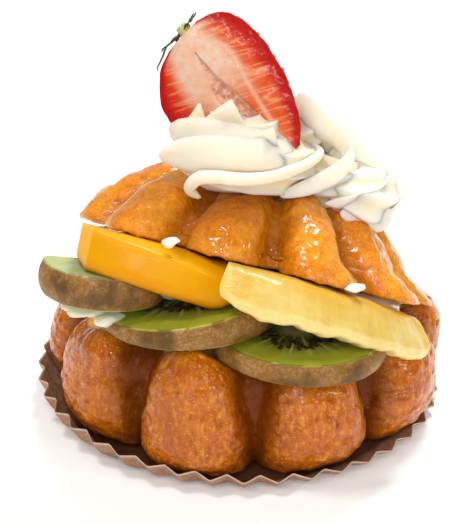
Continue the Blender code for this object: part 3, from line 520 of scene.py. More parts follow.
def makeCrust():
    look = dict(dark=(0.150, 0.026, 0.0004), deep=(0.27, 0.040, 0.0006), soaked=(0.50, 0.110, 0.001),
                main=(0.68, 0.205, 0.003), light=(0.84, 0.375, 0.022), crumb=(0.86, 0.48, 0.080))
    f = Finish("crust", Specular_IOR_Level=0.05, Coat_Roughness=0.035, Coat_IOR=1.45,
               Subsurface_Weight=0.10, Subsurface_Scale=0.003, Subsurface_Radius=(1.0, 0.30, 0.04))
    blotch = f.group(mottleGroup, "Mask", Size=95.0, Fine=0.45, Contrast=1.7)
    skin = f.ramp(blotch, (0.05, look["soaked"]), (0.45, look["main"]), (0.95, look["light"]))
    # the base is drawn darker than the lid: partly its deeper syrup-soaked colour, partly painted shade, as
    # the base is lit less from above
    soaked = f.ramp(blotch, (0.05, look["deep"]), (0.50, look["soaked"]), (0.95, look["main"]))
    skin = f.mix(f.math("MULTIPLY", f.attribute("soakAndShade"), 0.93), skin, soaked)
    # fried grain: short upright threads, pale granules and dark pores
    threads = f.noise(950.0, 3.5, f.stretched(f.place, (1.0, 1.0, 0.50)))
    skin = f.mix(f.range(threads, 0.52, 0.70, 0.0, 0.45), skin, look["light"])
    browned = f.math("ADD", 0.22, f.math("MULTIPLY", f.attribute("soakAndShade"), 0.35))
    skin = f.mix(f.math("MULTIPLY", f.range(threads, 0.46, 0.30), browned), skin, look["deep"])
    grain = f.noise(2300.0, 2.0)
    skin = f.mix(f.range(grain, 0.60, 0.72, 0.0, 0.60), skin, (0.92, 0.52, 0.075))
    speckle = f.group(mottleGroup, "Mask", Size=560.0, Fine=0.5, Contrast=3.0)
    spotted = f.math("ADD", 0.08, f.math("MULTIPLY", f.attribute("soakAndShade"), 0.48))
    skin = f.mix(f.math("MULTIPLY", f.range(speckle, 0.70, 1.0), spotted), skin, look["deep"])
    # painted shade: the colour is drawn toward dark red-brown down in the grooves between the lobes
    hollow = f.range(f.attribute("groove"), 0.12, 0.80)
    skin = f.mix(f.math("MULTIPLY", hollow, 0.92), skin, look["dark"])
    browner = f.range(f.attribute("brown"), 0.62, 0.95, 0.0, 0.50)
    skin = f.mix(browner, skin, look["deep"])
    crumb = f.mix(f.range(blotch, 0.2, 0.8, 0.0, 0.8), look["crumb"], look["main"])
    f.colour(f.mix(f.attribute("cut"), skin, crumb))
    # syrup lies in patches: nearly mirror smooth there, satin elsewhere; less of it on the soaked part
    wet = f.range(f.group(mottleGroup, "Mask", Size=62.0, Fine=0.25, Contrast=2.2), 0.22, 0.50)
    f.rough(f.math("ADD", f.range(wet, 0.0, 1.0, 0.55, 0.38), f.range(speckle, 0.5, 1.0, 0.0, 0.15)))
    dry = f.math("SUBTRACT", 1.0, f.math("MULTIPLY", f.attribute("soakAndShade"), 0.22))
    dry = f.math("MULTIPLY", dry, f.range(hollow, 0.2, 1.0, 1.0, 0.30))
    f.link(f.math("MULTIPLY", f.range(wet, 0.0, 1.0, 0.60, 1.0), dry), f.shader.inputs["Coat Weight"])
    relief = f.group(wetReliefGroup, "Height", Swell_Size=360.0, Ridge_Size=230.0, Ridge=0.05,
                     Grain_Size=1700.0, Grain=0.55)
    f.bump(relief, 0.75, 0.0008)
    # the syrup's own skin: soft swells and crooked menisci that catch the light
    film = f.noise(250.0, 1.5, None, 0.8)
    edgeOf = f.range(f.math("ABSOLUTE", f.math("SUBTRACT", film, 0.50)), 0.0, 0.030, 0.030, 0.0)
    swell = f.math("ADD", f.math("MULTIPLY", film, 0.34), f.math("MULTIPLY", f.noise(760.0, 1.5), 0.17))
    f.bump(f.math("ADD", swell, edgeOf), 1.0, 0.001, "Coat Normal")
    return f.mat


crustFinish = makeCrust()
cakeBase = settle(makeCakeHalf("cakeBase", cakeForm["base"], False, crustFinish), "crust", "baba")
cakeLid = settle(makeCakeHalf("cakeLid", cakeForm["lid"], True, crustFinish), "crust", "baba")
print("cake made", len(cakeBase.data.polygons), len(cakeLid.data.polygons))


# pleated paper case

caseForm = dict(centre=(-0.0029, 0.0010), pleats=40, perPleat=14, floor=0.0430, rim=0.0508, paper=0.0004,
                pleat=0.0011, lowRim=0.0025, highRim=0.0055, wallRows=22, floorRows=13)


def makeCase(mat):
    # radius grows from the floor to the rim with a pointed wave; the section runs from the middle of the
    # underside out to the rim and back over the upper side
    columns = caseForm["pleats"] * caseForm["perPleat"]
    wallRows, floorRows = caseForm["wallRows"], caseForm["floorRows"]
    angle = np.arange(columns) * tau / columns
    phase = angle * caseForm["pleats"]
    uneven = 0.22 * np.sin(angle * 3 + 0.6) + 0.16 * np.sin(angle * 7 + 2.0)
    wave = np.arcsin(np.clip(np.sin(phase + uneven) * 0.985, -1, 1)) / (math.pi / 2)
    depth = 1 + 0.18 * np.sin(angle * 5 + 1.1)
    share = np.linspace(0, 1, wallRows)[:, None]
    fold = wave * depth * caseForm["pleat"] * np.minimum(1, share * 1.6)
    width = caseForm["rim"] - caseForm["floor"] - caseForm["pleat"]
    radius = caseForm["floor"] + width * share + fold * 0.85
    left = 0.5 - 0.5 * np.sin(angle)
    rise = (caseForm["lowRim"] + caseForm["highRim"] * left ** 1.3) * share ** 1.9
    z = rise - 0.4 * fold * share
    z = z - z.min()
    outer = np.stack([np.sin(angle) * radius, -np.cos(angle) * radius, z], axis=-1)
    inner = outer + [0, 0, caseForm["paper"]]
    flat = np.linspace(0.02, 1, floorRows + 1)[:-1, None, None]
    lower = np.concatenate([outer[:1] * flat, outer])
    upper = np.concatenate([inner[:1] * flat + [0, 0, caseForm["paper"]] * (1 - flat), inner])
    grid = np.concatenate([lower, upper[::-1]])
    grid = grid + np.array([*caseForm["centre"], 0.0]) + shift
    floor = np.zeros((floorRows, columns))
    edge = np.broadcast_to(share, (wallRows, columns))
    edge = np.concatenate([floor, edge, edge[::-1], floor])
    ridge = np.concatenate([floor, wave * share, wave * share[::-1], floor])
    return gridObject("pleatedCase", grid, mat, dict(edge=edge, ridge=ridge))


def makePaper():
    look = dict(base=(0.270, 0.120, 0.058), lowDark=(0.085, 0.022, 0.006), pale=(0.45, 0.26, 0.165))
    f = Finish("paper", Roughness=0.65, Specular_IOR_Level=0.2)
    fibre = f.group(mottleGroup, "Mask", Size=260.0, Fine=0.6, Contrast=1.6)
    edge = f.attribute("edge")
    skin = f.mix(f.range(fibre, 0.2, 0.8), look["base"], look["pale"])
    # the paper drawn darker over the floor and the low part of the wall, fading out four tenths of the way up
    skin = f.mix(f.range(edge, 0.12, 0.42, 0.9, 0.0), skin, look["lowDark"])
    skin = f.mix(f.range(edge, 0.965, 1.0, 0.0, 0.75), skin, (0.62, 0.45, 0.35))
    skin = f.mix(f.range(f.attribute("ridge"), 0.45, 0.95, 0.0, 0.35), skin, look["pale"])
    f.colour(skin)
    f.bump(f.noise(2200.0, 4.0), 0.25, 0.0002)
    return f.mat


settle(makeCase(makePaper()), "paper", "paper_case")
print("paper case made")


# kiwi half slices

kiwiForm = dict(
    kiwiRight=dict(node="kiwi_slice_right", centre=(0.0108, -0.0290, 0.0289), radius=0.0206, thick=0.0052,
                   normal=(0.08, 0.06, 1.0), wedge=(0.03, 0.0), cut=0.0020, seed=3, pale=0.0),
    kiwiMiddle=dict(node="kiwi_slice_middle", centre=(-0.0135, -0.0244, 0.0348), radius=0.0216, thick=0.0060,
                    normal=(-0.037, 0.12, 1.0), wedge=(0.11, 0.03), cut=0.0010, seed=5, pale=0.0),
    kiwiLeft=dict(node="kiwi_slice_left", centre=(-0.0338, -0.0256, 0.0414), radius=0.0148, thick=0.0076,
                  normal=(0.073, 0.188, 1.0), wedge=(0.0, -0.02), cut=0.0010, seed=8, pale=1.0))
kiwiRings = dict(columns=260, top=46, side=22, bottom=14, bulge=0.0013, inset=0.0006, seeds=46)


def kiwiPlace(form, local):
    # from the slice's own axes to the frame
    turn = np.array(Vector((0, 0, 1)).rotation_difference(Vector(form["normal"])).to_matrix())
    return local @ turn.T + np.array(form["centre"]) + shift


def sliceTop(form, x, y):
    # height of the upper face, as each slice is a little wedge-shaped
    return form["thick"] + form["wedge"][0] * x + form["wedge"][1] * y


def makeKiwi(name, form, flesh):
    # rings drawn from the core outward, over the skin and back under; the far side is cut straight
    rings = kiwiRings
    angle = np.arange(rings["columns"]) * tau / rings["columns"]
    wobble = np.random.default_rng(len(form["node"])).uniform(0, tau, 2)
    uneven = 1 + 0.012 * np.sin(2 * angle + wobble[0]) + 0.006 * np.sin(3 * angle + wobble[1])
    # share of the radius, and place through the thickness from 1 (upper face) to 0
    reach = np.concatenate([np.linspace(0.02, 1, rings["top"]) ** 0.9, np.ones(rings["side"]),
                            np.linspace(1, 0.02, rings["bottom"])])
    height = np.concatenate([np.ones(rings["top"]), 1 - np.linspace(0, 1, rings["side"]),
                             np.zeros(rings["bottom"])])
    onSide = reach > 0.999
    bulge = np.where(onSide, np.sin(height * math.pi) ** 0.6 * rings["bulge"], 0) - rings["inset"]
    # the straight cut: a ring is drawn in by as much as the whole slice would pass it
    past = np.where(np.sin(angle) > 1e-6, form["radius"] * np.sin(angle) / form["cut"], 0)
    r = reach[:, None] * (form["radius"] + bulge[:, None]) * uneven / np.maximum(past, 1)
    x, y = r * np.cos(angle), r * np.sin(angle)
    z = height[:, None] * sliceTop(form, x, y)
    # soft rays and a slightly sunken ring of seeds on the upper face
    dist = np.hypot(x, y) / form["radius"]
    around = np.arctan2(y, x)
    onTop = (np.arange(len(reach)) < rings["top"])[:, None]
    polar = np.stack([np.cos(around) * 8, np.sin(around) * 8, dist * 1.5], axis=-1)
    ray = softNoise(polar, 1.0, form["seed"])
    relief = ray * 0.00010 * smoothStep(dist, 0.15, 0.35) - 0.00018 * np.exp(-((dist - 0.36) / 0.12) ** 2)
    relief = relief + softNoise(np.stack([x, y, z], axis=-1), 0.003, form["seed"] + 1) * 0.00012
    z = z + relief * onTop * smoothStep(1 - dist, 0.0, 0.06)
    skin = (onSide & (height < 0.985) & (height > 0.0))[:, None] * (dist > 0.90)
    grid = kiwiPlace(form, np.stack([x, y, z], axis=-1))
    grid = grid + gridNormals(grid) * (softNoise(grid, 0.004, 9) * 0.00025 * skin)[..., None]
    uv = np.stack([x, y], axis=-1) / form["radius"] * 0.5 + 0.5
    return gridObject(name, grid, flesh, dict(skin=skin * 1.0), uv, flip=True)


def makeSeeds(name, mat):
    # drops pointing at the core, set on their own ring of each slice's upper face
    parts = []
    for form in kiwiForm.values():
        if form["pale"]:
            continue
        rng = np.random.default_rng(form["seed"])
        count = kiwiRings["seeds"]
        angles = np.linspace(-math.pi, 0.10, count) + rng.normal(0, 0.035, count)
        dist = form["radius"] * (0.43 + 0.12 * rng.uniform(-1, 1, count) * rng.uniform(0.3, 1, count)
                                 + 0.06 * (np.arange(count) % 2))
        for a, d in zip(angles, dist):
            x, y = d * math.cos(a), d * math.sin(a)
            if y > form["cut"] - 0.0008:
                continue
            u = np.linspace(0.03, 0.97, 7)[:, None]
            v = np.arange(8)[None, :] * tau / 8
            size = rng.uniform(0.95, 1.35)
            width = 0.00060 * size * np.sin(u * math.pi) ** 0.8 * (0.55 + 0.45 * u)
            along = (u - 0.5) * 0.0023 * size
            lx, ly, lz = along, width * np.cos(v), 0.45 * width * np.sin(v)
            turn = a + rng.normal(0, 0.12)
            px = x + lx * math.cos(turn) - ly * math.sin(turn)
            py = y + lx * math.sin(turn) + ly * math.cos(turn)
            local = np.stack([px, py, sliceTop(form, x, y) + 0.00002 + lz + 0 * px], axis=-1)
            parts.append((kiwiPlace(form, local)[::-1], {}))
    return joinGrids(name, parts, mat)


def makeKiwiFlesh(name, pale):
    look = dict(core=(0.50, 0.45, 0.16), inner=(0.070, 0.075, 0.006), flesh=(0.300, 0.325, 0.024),
                ray=(0.48, 0.47, 0.15), edge=(0.42, 0.38, 0.07), skin=(0.235, 0.100, 0.012),
                skinLight=(0.40, 0.215, 0.075), skinDark=(0.075, 0.034, 0.002))
    if pale:
        look.update(core=(0.56, 0.60, 0.30), inner=(0.36, 0.43, 0.17), flesh=(0.42, 0.50, 0.21),
                    ray=(0.55, 0.61, 0.34), edge=(0.30, 0.34, 0.10))
    f = Finish(name, Roughness=0.30, Coat_Weight=0.12, Coat_Roughness=0.12, Specular_IOR_Level=0.25,
               Subsurface_Weight=0.18, Subsurface_Scale=0.003, Subsurface_Radius=(0.6, 1.0, 0.2))
    fromCore = f.vectorMath("SUBTRACT", f.pattern, (0.5, 0.5, 0.0))["Vector"]
    dist = f.math("MULTIPLY", f.vectorMath("LENGTH", fromCore)["Value"], 2.0)
    way = f.vectorMath("NORMALIZE", fromCore)["Vector"]
    rays = f.noise(9.0, 2.0, way)
    fineRays = f.noise(26.0, 2.0, way)
    ring = f.ramp(dist, (0.0, look["core"]), (0.16, look["core"]), (0.28, look["inner"]),
                  (0.46, look["inner"]), (0.74, look["flesh"]), (0.95, look["flesh"]), (1.0, look["edge"]))
    rayMask = f.math("MULTIPLY", f.range(rays, 0.54, 0.64), f.range(dist, 0.14, 0.30))
    rayMask = f.math("MULTIPLY", rayMask, f.range(dist, 0.80, 0.50, 0.0, 0.80))
    fine = f.math("MULTIPLY", f.range(fineRays, 0.54, 0.66), f.range(dist, 0.92, 0.35, 0.0, 0.35))
    body = f.mix(rayMask, ring, look["ray"])
    body = f.mix(fine, body, look["ray"])
    spots = f.noise(700.0, 3.0)
    body = f.mix(f.range(spots, 0.45, 0.75, 0.0, 0.25), body, look["edge"])
    fuzz = f.group(mottleGroup, "Mask", Size=300.0, Fine=0.6, Contrast=1.5)
    skin = f.mix(f.range(fuzz, 0.35, 0.80), look["skin"], look["skinLight"])
    skin = f.mix(f.range(f.noise(120.0, 3.0), 0.46, 0.66, 0.0, 0.80), skin, look["skinDark"])
    onSkin = f.attribute("skin")
    f.colour(f.mix(onSkin, body, skin))
    f.rough(f.range(onSkin, 0.0, 1.0, 0.26, 0.62))
    height = f.math("ADD", f.math("MULTIPLY", f.noise(2600.0, 4.0), onSkin),
                    f.math("MULTIPLY", rays, 0.5))
    f.bump(height, 0.5, 0.0004)
    return f.mat


kiwiFlesh = makeKiwiFlesh("kiwiFlesh", False)
kiwiPale = makeKiwiFlesh("kiwiPale", True)
for key, form in kiwiForm.items():
    settle(makeKiwi(key, form, kiwiPale if form["pale"] else kiwiFlesh), "kiwi", form["node"])


def makeSeedFinish():
    f = Finish("kiwiSeed", Roughness=0.30, Coat_Weight=0.5, Coat_Roughness=0.1)
    f.colour(f.ramp(f.noise(900.0), (0.3, (0.012, 0.006, 0.004)), (0.8, (0.045, 0.022, 0.012))))
    return f.mat


settle(makeSeeds("kiwiSeeds", makeSeedFinish()), "kiwi")
print("kiwi slices made")


# mango and pineapple

def blockRings(front, inward, up, depth, height, power, points):
    # boxy closed sections: sign(c)|c|^(2/power) across, standing on their front foot points
    turn = np.arange(points) * tau / points + math.pi / points
    c, s = np.cos(turn), np.sin(turn)
    u = np.sign(c) * np.abs(c) ** (2 / power)
    v = np.sign(s) * np.abs(s) ** (2 / power)
    middle = front + inward * (depth / 2)[:, None] + up * (height / 2)[:, None]
    return (middle[:, None] + (depth / 2)[:, None, None] * u[None, :, None] * inward[:, None]
            + (height / 2)[:, None, None] * v[None, :, None] * up[:, None])


mangoForm = dict(path=((-39.4, -33.6, 54.9), (-37.0, -37.2, 53.0), (-32.8, -39.2, 52.3), (-27.2, -40.6, 51.2),
                       (-20.0, -41.6, 49.2), (-13.3, -41.6, 47.0), (-7.8, -40.6, 44.8), (-1.6, -38.0, 44.6)),
                 height=0.0112, depth=0.0170, ridge=(0.90, 0.62), lean=(0.0008, 0.0062), endRows=14)


def alongPath(path):
    return np.concatenate([[0], np.cumsum(np.linalg.norm(np.diff(path, axis=0), axis=1))])


def smoothPath(points, steps):
    # a cubic through a few points, evenly stepped by the distance along them
    points = np.asarray(points, float)
    far = alongPath(points)
    t = np.linspace(0, far[-1], steps)
    return np.stack([smoothCurve(t, far, points[:, k]) for k in range(3)], axis=-1)


def tuckUnder(grid, clear=0.0004):
    # whatever would stand above the lid's underside is pushed back to just below it
    above = np.maximum((grid - (hingePoint + cakeShift)) @ lidNormal + clear, 0)
    return grid - above[..., None] * lidNormal


def makeMango(mat):
    # a boxy bar along its front foot, cut slantwise at one end and rounded at the other; above a ridge its
    # front leans back, more and more toward the rounded end
    fullHeight, fullDepth, endRows = mangoForm["height"], mangoForm["depth"], mangoForm["endRows"]
    path = np.array(mangoForm["path"]) * 0.001
    end = path[:1] + (path[1] - path[0]) * np.linspace(0, 0.96, endRows)[:, None]
    path = np.concatenate([end, smoothPath(path[1:], 150)])
    far = alongPath(path)
    u = far / far[-1]
    tangent = unit(path[-1] - path[endRows])
    outward = unit(np.array([tangent[1], -tangent[0], 0.0]))
    inward = unit(np.cross(lidNormal, tangent))
    up = np.cross(tangent, inward)
    up, inward = up * np.sign(up[2]), inward * np.sign(inward @ -outward)
    taper = np.sqrt(np.maximum(0, 1 - (np.maximum(0, u - 0.82) / 0.185) ** 2.4))
    blunt = 0.93 + 0.07 * smoothStep(u, 0.0, 0.012)
    height = fullHeight * blunt * (0.30 + 0.70 * taper)
    depth = fullDepth * blunt * (0.40 + 0.60 * taper)
    front = path - outward * (0.3 * (fullDepth - depth))[:, None]
    front = front + up * (0.35 * (fullHeight - height))[:, None]
    ring = blockRings(front, np.broadcast_to(inward, front.shape), np.broadcast_to(up, front.shape),
                      depth, height, 4.6, 96)
    rise = np.clip(((ring - front[:, None]) @ up) / height[:, None], 0, 1)
    (ridge0, ridge1), (lean0, lean1) = mangoForm["ridge"], mangoForm["lean"]
    ridge = (ridge0 + (ridge1 - ridge0) * u)[:, None]
    over = np.maximum(0, rise - ridge) / (1 - ridge)
    ring = ring + (over * (lean0 + (lean1 - lean0) * u)[:, None])[..., None] * inward
    grid = ring + shift
    lumps = softNoise(grid, 0.006, 2) * 0.00018 + softNoise(grid, 0.0020, 3) * 0.00004
    grid = tuckUnder(grid + outwardNormals(grid) * lumps[..., None])
    ends = np.broadcast_to(smoothStep(far[endRows] * 0.97 - far, -0.0001, 0.0002)[:, None], rise.shape)
    # over: how far up the leaning top face a point lies, where the finish paints the lid's shade
    return gridObject("mangoSlice", grid, mat, dict(end=ends, rise=rise, over=over))


def makeMangoFinish():
    look = dict(main=(0.70, 0.290, 0.0001), deep=(0.60, 0.190, 0.0001), light=(0.74, 0.350, 0.0002),
                end=(0.84, 0.44, 0.070))
    f = Finish("mango", Roughness=0.32, Specular_IOR_Level=0.10, Coat_Weight=0.07, Coat_Roughness=0.12,
               Subsurface_Weight=0.30, Subsurface_Scale=0.005, Subsurface_Radius=(1.0, 0.55, 0.08))
    slow = f.group(mottleGroup, "Mask", Size=70.0, Fine=0.35, Contrast=1.6)
    fibres = f.noise(260.0, 3.0, f.stretched(f.place, (0.16, 1.0, 1.0)))
    body = f.mix(f.range(slow, 0.15, 0.85), look["main"], look["light"])
    body = f.mix(f.range(f.attribute("rise"), 0.35, 0.02, 0.0, 0.55), body, look["deep"])
    body = f.mix(f.range(fibres, 0.52, 0.70, 0.0, 0.22), body, look["light"])
    body = f.mix(f.math("MULTIPLY", f.attribute("end"), 0.8), body, look["end"])
    # painted shade: the leaning top face under the lid is drawn toward the deeper orange
    body = f.mix(f.range(f.attribute("over"), 0.55, 1.0, 0.0, 0.6), body, look["deep"])
    f.colour(body)
    f.bump(f.math("ADD", fibres, f.noise(900.0, 3.0)), 0.22, 0.0004)
    return f.mat


settle(makeMango(makeMangoFinish()), "mango", "mango_slice")

pineForm = dict(radius=0.0508, fromAngle=math.radians(-10.0), toAngle=math.radians(59.0), top=-0.0008,
                height=0.0104, depth=0.0165, tooth=0.0005, droop=0.0022, crease=0.30, lean=0.0052,
                forward=0.0014)


def makePineapple(mat):
    # a boxy section carried along an arc under the lid, its front notched, its faces drawn into fibres
    phase = np.random.default_rng(5).uniform(0, tau, 3)
    u = np.concatenate([[0, 0.002, 0.006], np.linspace(0.012, 0.988, 230), [0.994, 0.998, 1.0]])
    angle = pineForm["fromAngle"] + (pineForm["toAngle"] - pineForm["fromAngle"]) * u
    left = np.minimum(1, (u + 0.02) / 0.20)
    right = np.minimum(1, (1.01 - u) / 0.08)
    soft = 0.90 + 0.10 * smoothStep(np.minimum(u, 1 - u), 0, 0.012)
    depth = pineForm["depth"] * (0.22 + 0.78 * np.sin(left * math.pi / 2)) * (0.85 + 0.15 * right) * soft
    height = pineForm["height"] * (0.55 + 0.45 * np.sin(np.minimum(1, left * 1.3) * math.pi / 2))
    height = height * (0.80 + 0.20 * np.sin(right * math.pi / 2)) * soft
    tooth = pineForm["tooth"] * (np.sin(u * 30 + phase[0]) + 0.5 * np.sin(u * 71 + phase[1]))
    radius = pineForm["radius"] - 0.0015 * (1 - left) - 0.0012 * np.maximum(0, u - 0.6)
    across = np.stack([np.sin(angle), -np.cos(angle), 0 * angle], axis=-1)
    top = lidPlace(across[:, 0] * radius, across[:, 1] * radius, pineForm["top"])
    top = top - lidNormal * (pineForm["droop"] * u ** 2)[:, None]
    inward = unit(-across @ lidTurn.T)
    up = np.broadcast_to(lidNormal, inward.shape)
    front = top - up * height[:, None]
    ring = blockRings(front, inward, up, depth, height, 5.6, 112)
    offset = ring - front[:, None]
    low = 1 - np.clip((offset @ lidNormal) / height[:, None], 0, 1)
    near = 1 - np.clip(np.einsum("rci,ri->rc", offset, inward) / depth[:, None], 0, 1)
    ring = ring + (low ** 3 * near * tooth[:, None])[..., None] * (up - inward)[:, None]
    slant = np.maximum(0, (1 - low) - pineForm["crease"]) / (1 - pineForm["crease"])
    back = slant * pineForm["lean"] * np.minimum(1, near / 0.4) - pineForm["forward"] * near
    grid = ring + back[..., None] * inward[:, None]
    # fibres run across the slice: ridges along the arc with a slow wander
    lie = np.stack([np.broadcast_to((u * 62)[:, None], near.shape), near * 2.2, low * 2.2], axis=-1)
    fibre = softNoise(lie * [0.5, 1, 1], 1.0, 3) * 0.00003 + softNoise(lie * 2.7, 1.0, 4) * 0.00001
    lumps = softNoise(grid, 0.0046, 6) * 0.00030 + softNoise(grid, 0.0016, 7) * 0.00010
    grid = tuckUnder(grid + outwardNormals(grid) * (fibre + lumps)[..., None])
    uv = np.stack([np.broadcast_to(u[:, None], near.shape), near], axis=-1)
    # slant: the top face leaning back, most near its front edge, where the finish paints deeper yellow and
    # shade
    return gridObject("pineappleSlice", grid, mat, dict(low=low, slant=slant * near), uv)


def makePineFinish():
    look = dict(main=(0.60, 0.38, 0.055), pale=(0.66, 0.49, 0.15), deep=(0.60, 0.31, 0.008),
                rind=(0.74, 0.54, 0.16), glow=(0.80, 0.64, 0.27))
    f = Finish("pineapple", Roughness=0.30, Specular_IOR_Level=0.25, Coat_Weight=0.20, Coat_Roughness=0.10,
               Subsurface_Weight=0.35, Subsurface_Scale=0.005, Subsurface_Radius=(1.0, 0.8, 0.20))
    slow = f.group(mottleGroup, "Mask", Size=90.0, Fine=0.4, Contrast=1.8)
    strands = f.noise(7.0, 3.0, f.stretched(f.pattern, (11.0, 0.8, 1.0)), 0.25)
    face = f.mix(f.range(slow, 0.2, 0.8), look["main"], look["pale"])
    face = f.mix(f.range(strands, 0.50, 0.72, 0.0, 0.16), face, look["glow"])
    face = f.mix(f.range(strands, 0.48, 0.30, 0.0, 0.10), face, look["deep"])
    # the slanted top face drawn toward deep yellow: partly a deeper yellow flesh, partly painted shade under
    # the lid
    face = f.mix(f.range(f.attribute("slant"), 0.45, 0.95, 0.0, 0.75), face, look["deep"])
    rind = f.mix(f.range(slow, 0.3, 0.7, 0.0, 0.7), look["rind"], look["glow"])
    f.colour(f.mix(f.range(f.attribute("low"), 0.64, 0.74), face, rind))
    f.bump(f.math("ADD", f.math("MULTIPLY", strands, 0.7), f.noise(1300.0, 3.0)), 0.25, 0.0004)
    return f.mat


settle(makePineapple(makePineFinish()), "pineapple", "pineapple_slice")
print("mango and pineapple made")


# cream

def makeCreamFinish(name, main):
    look = dict(main=main, warm=(0.85, 0.74, 0.54), hollow=(0.93, 0.77, 0.42))
    f = Finish(name, Roughness=0.50, Specular_IOR_Level=0.3, Coat_Weight=0.04, Coat_Roughness=0.3,
               Subsurface_Weight=0.55, Subsurface_Scale=0.0045, Subsurface_Radius=(1.0, 0.8, 0.5))
    slow = f.group(mottleGroup, "Mask", Size=60.0, Fine=0.3, Contrast=1.3)
    body = f.mix(f.range(slow, 0.35, 0.95, 0.0, 0.35), look["main"], look["warm"])
    # painted shade: the cream is drawn warmer and darker down the grooves of the star ribbons, under each
    # fold and at the foot of each peak
    body = f.mix(f.range(f.attribute("valley"), 0.55, 1.0, 0.0, 0.6), body, look["hollow"])
    f.colour(body)
    f.bump(f.group(wetReliefGroup, "Height", Swell_Size=500.0, Ridge_Size=900.0, Ridge=0.02,
                   Grain_Size=2600.0, Grain=0.4), 0.25, 0.0002)
    return f.mat


# two copies of one cream: the darker is painted shade, for the front rosette, the filling and the spots; the
# lighter is painted light, for the back rosette
creamFinish = makeCreamFinish("cream", (0.77, 0.705, 0.575))
creamPaintedLight = makeCreamFinish("creamPaintedLight", (0.94, 0.875, 0.745))

fillForm = dict(radius=0.0385, centreX=-0.001, front=-0.0270, clear=0.0007, hingeClear=0.0045,
                discRows=40, sideRows=14)


def makeFilling(mat):
    # between the two cut faces: rings of the outline drawn in to the middle, on the lower and the upper plane
    columns = 420
    angle = np.arange(columns) * tau / columns
    radius = fillForm["radius"] + 0.0008 * np.sin(5 * angle + 1) + 0.0006 * np.sin(13 * angle)
    x, y = radius * np.cos(angle) + fillForm["centreX"], radius * np.sin(angle)
    y = np.maximum(y, fillForm["front"] + 0.0008 * np.sin(x * 900))
    toHinge = x * hinge[0] + y * hinge[1]
    limit = fillForm["clear"] + cakeForm["hingeOffset"] - fillForm["hingeClear"]
    back = np.maximum(0, toHinge - limit)
    x, y = x - hinge[0] * back, y - hinge[1] * back
    middleX, middleY = x.mean(), y.mean()
    discRows, sideRows = fillForm["discRows"], fillForm["sideRows"]
    share = np.linspace(0.02, 1, discRows)[:, None]
    lowX, lowY = middleX + (x - middleX) * share, middleY + (y - middleY) * share
    lowZ = cutHeight(lowX, lowY) + fillForm["clear"]
    # height of the lid's underside over the same point
    away = (lowX - hingePoint[0]) * lidNormal[0] + (lowY - hingePoint[1]) * lidNormal[1]
    highZ = hingePoint[2] - away / lidNormal[2] - fillForm["clear"] / lidNormal[2]
    highZ = np.maximum(highZ, lowZ + 0.0003)
    bulge = np.sqrt(np.maximum(0, 1 - smoothStep(share, 0.86, 1.0) ** 2 * 0.9))
    middleZ = (lowZ + highZ) / 2
    low = np.stack([lowX, lowY, middleZ - (middleZ - lowZ) * bulge], axis=-1)
    high = np.stack([lowX, lowY, middleZ + (highZ - middleZ) * bulge], axis=-1)
    sideShare = np.linspace(0, 1, sideRows + 2)[1:-1, None, None]
    swell = np.sin(sideShare * math.pi) * 0.0012
    outward = unit(np.stack([x - middleX, y - middleY, 0 * x], axis=-1))
    side = low[-1:] + (high[-1:] - low[-1:]) * sideShare + outward * swell
    grid = np.concatenate([low, side, high[::-1]]) + cakeShift
    normals = gridNormals(grid)
    if np.mean(np.sum(normals[discRows:discRows + sideRows] * outward, axis=-1)) < 0:
        normals = -normals
    lumps = softNoise(grid, 0.004, 51) * 0.0006 + softNoise(grid, 0.0015, 52) * 0.00015
    grid = grid + normals * lumps[..., None]
    return gridObject("creamFilling", grid, mat, dict(valley=0 * grid[..., 0]))


settle(makeFilling(creamFinish), "cream", "cream_filling")

# places where cream is pressed out: centre and half sizes in millimetres
creamSpots = (((-37.0, -30.0, 39.9), (6.6, 4.4, 1.7)), ((-32.0, -33.6, 38.9), (3.8, 3.2, 1.3)),
              ((-17.4, -36.2, 60.1), (2.0, 1.8, 0.7)), ((23.8, -33.8, 46.8), (2.4, 1.8, 0.8)),
              ((-19.2, -30.5, 44.6), (2.6, 2.4, 1.9)), ((-16.0, -31.0, 45.2), (1.8, 2.0, 1.6)),
              ((9.6, -33.0, 39.5), (2.6, 3.4, 1.7)))


def makeSpots(mat):
    # flattened balls with a lumpy skin
    a = np.arange(64) * tau / 64
    b = np.linspace(0.04, math.pi - 0.04, 34)[:, None]
    ball = np.stack([np.sin(b) * np.cos(a), np.sin(b) * np.sin(a), np.cos(b) + 0 * a], axis=-1)
    parts = []
    for centre, size in creamSpots:
        grid = (np.array(centre) + ball * np.array(size)) * 0.001 + shift
        lumps = softNoise(grid, 0.0019, 91) * 0.00075 + softNoise(grid, 0.0008, 92) * 0.00015
        grid = grid + ball * lumps[..., None]
        parts.append((grid, dict(valley=0 * grid[..., 0])))
    return joinGrids("creamSpots", parts, mat)


settle(makeSpots(creamFinish), "cream")


def carry(path, side0, widths, section, twist):
    # a section of (across, out) pairs carried along a path, with axes that turn as little as possible
    path = np.asarray(path, float)
    tangent = unit(np.gradient(path, axis=0))
    side = np.zeros_like(path)
    current = np.asarray(side0, float)
    for k in range(len(path)):
        current = current - tangent[k] * (current @ tangent[k])
        current = current / np.linalg.norm(current)
        side[k] = current
    other = np.cross(tangent, side)
    c, s = np.cos(twist)[:, None], np.sin(twist)[:, None]
    a = section[None, :, 0] * c - section[None, :, 1] * s
    b = section[None, :, 0] * s + section[None, :, 1] * c
    across = side[:, None] * a[..., None] + other[:, None] * b[..., None]
    return path[:, None] + across * widths[:, None, None]


def starSection(points, depth, sharp, count):
    # radius falls from the ridge to the valley as |sin|^sharp, so the ridges are crisp
    turn = np.arange(count) * tau / count
    wave = np.abs(np.sin(turn * points / 2)) ** sharp
    r = 1 - depth * wave
    return np.stack([r * np.cos(turn), r * np.sin(turn)], axis=-1), wave


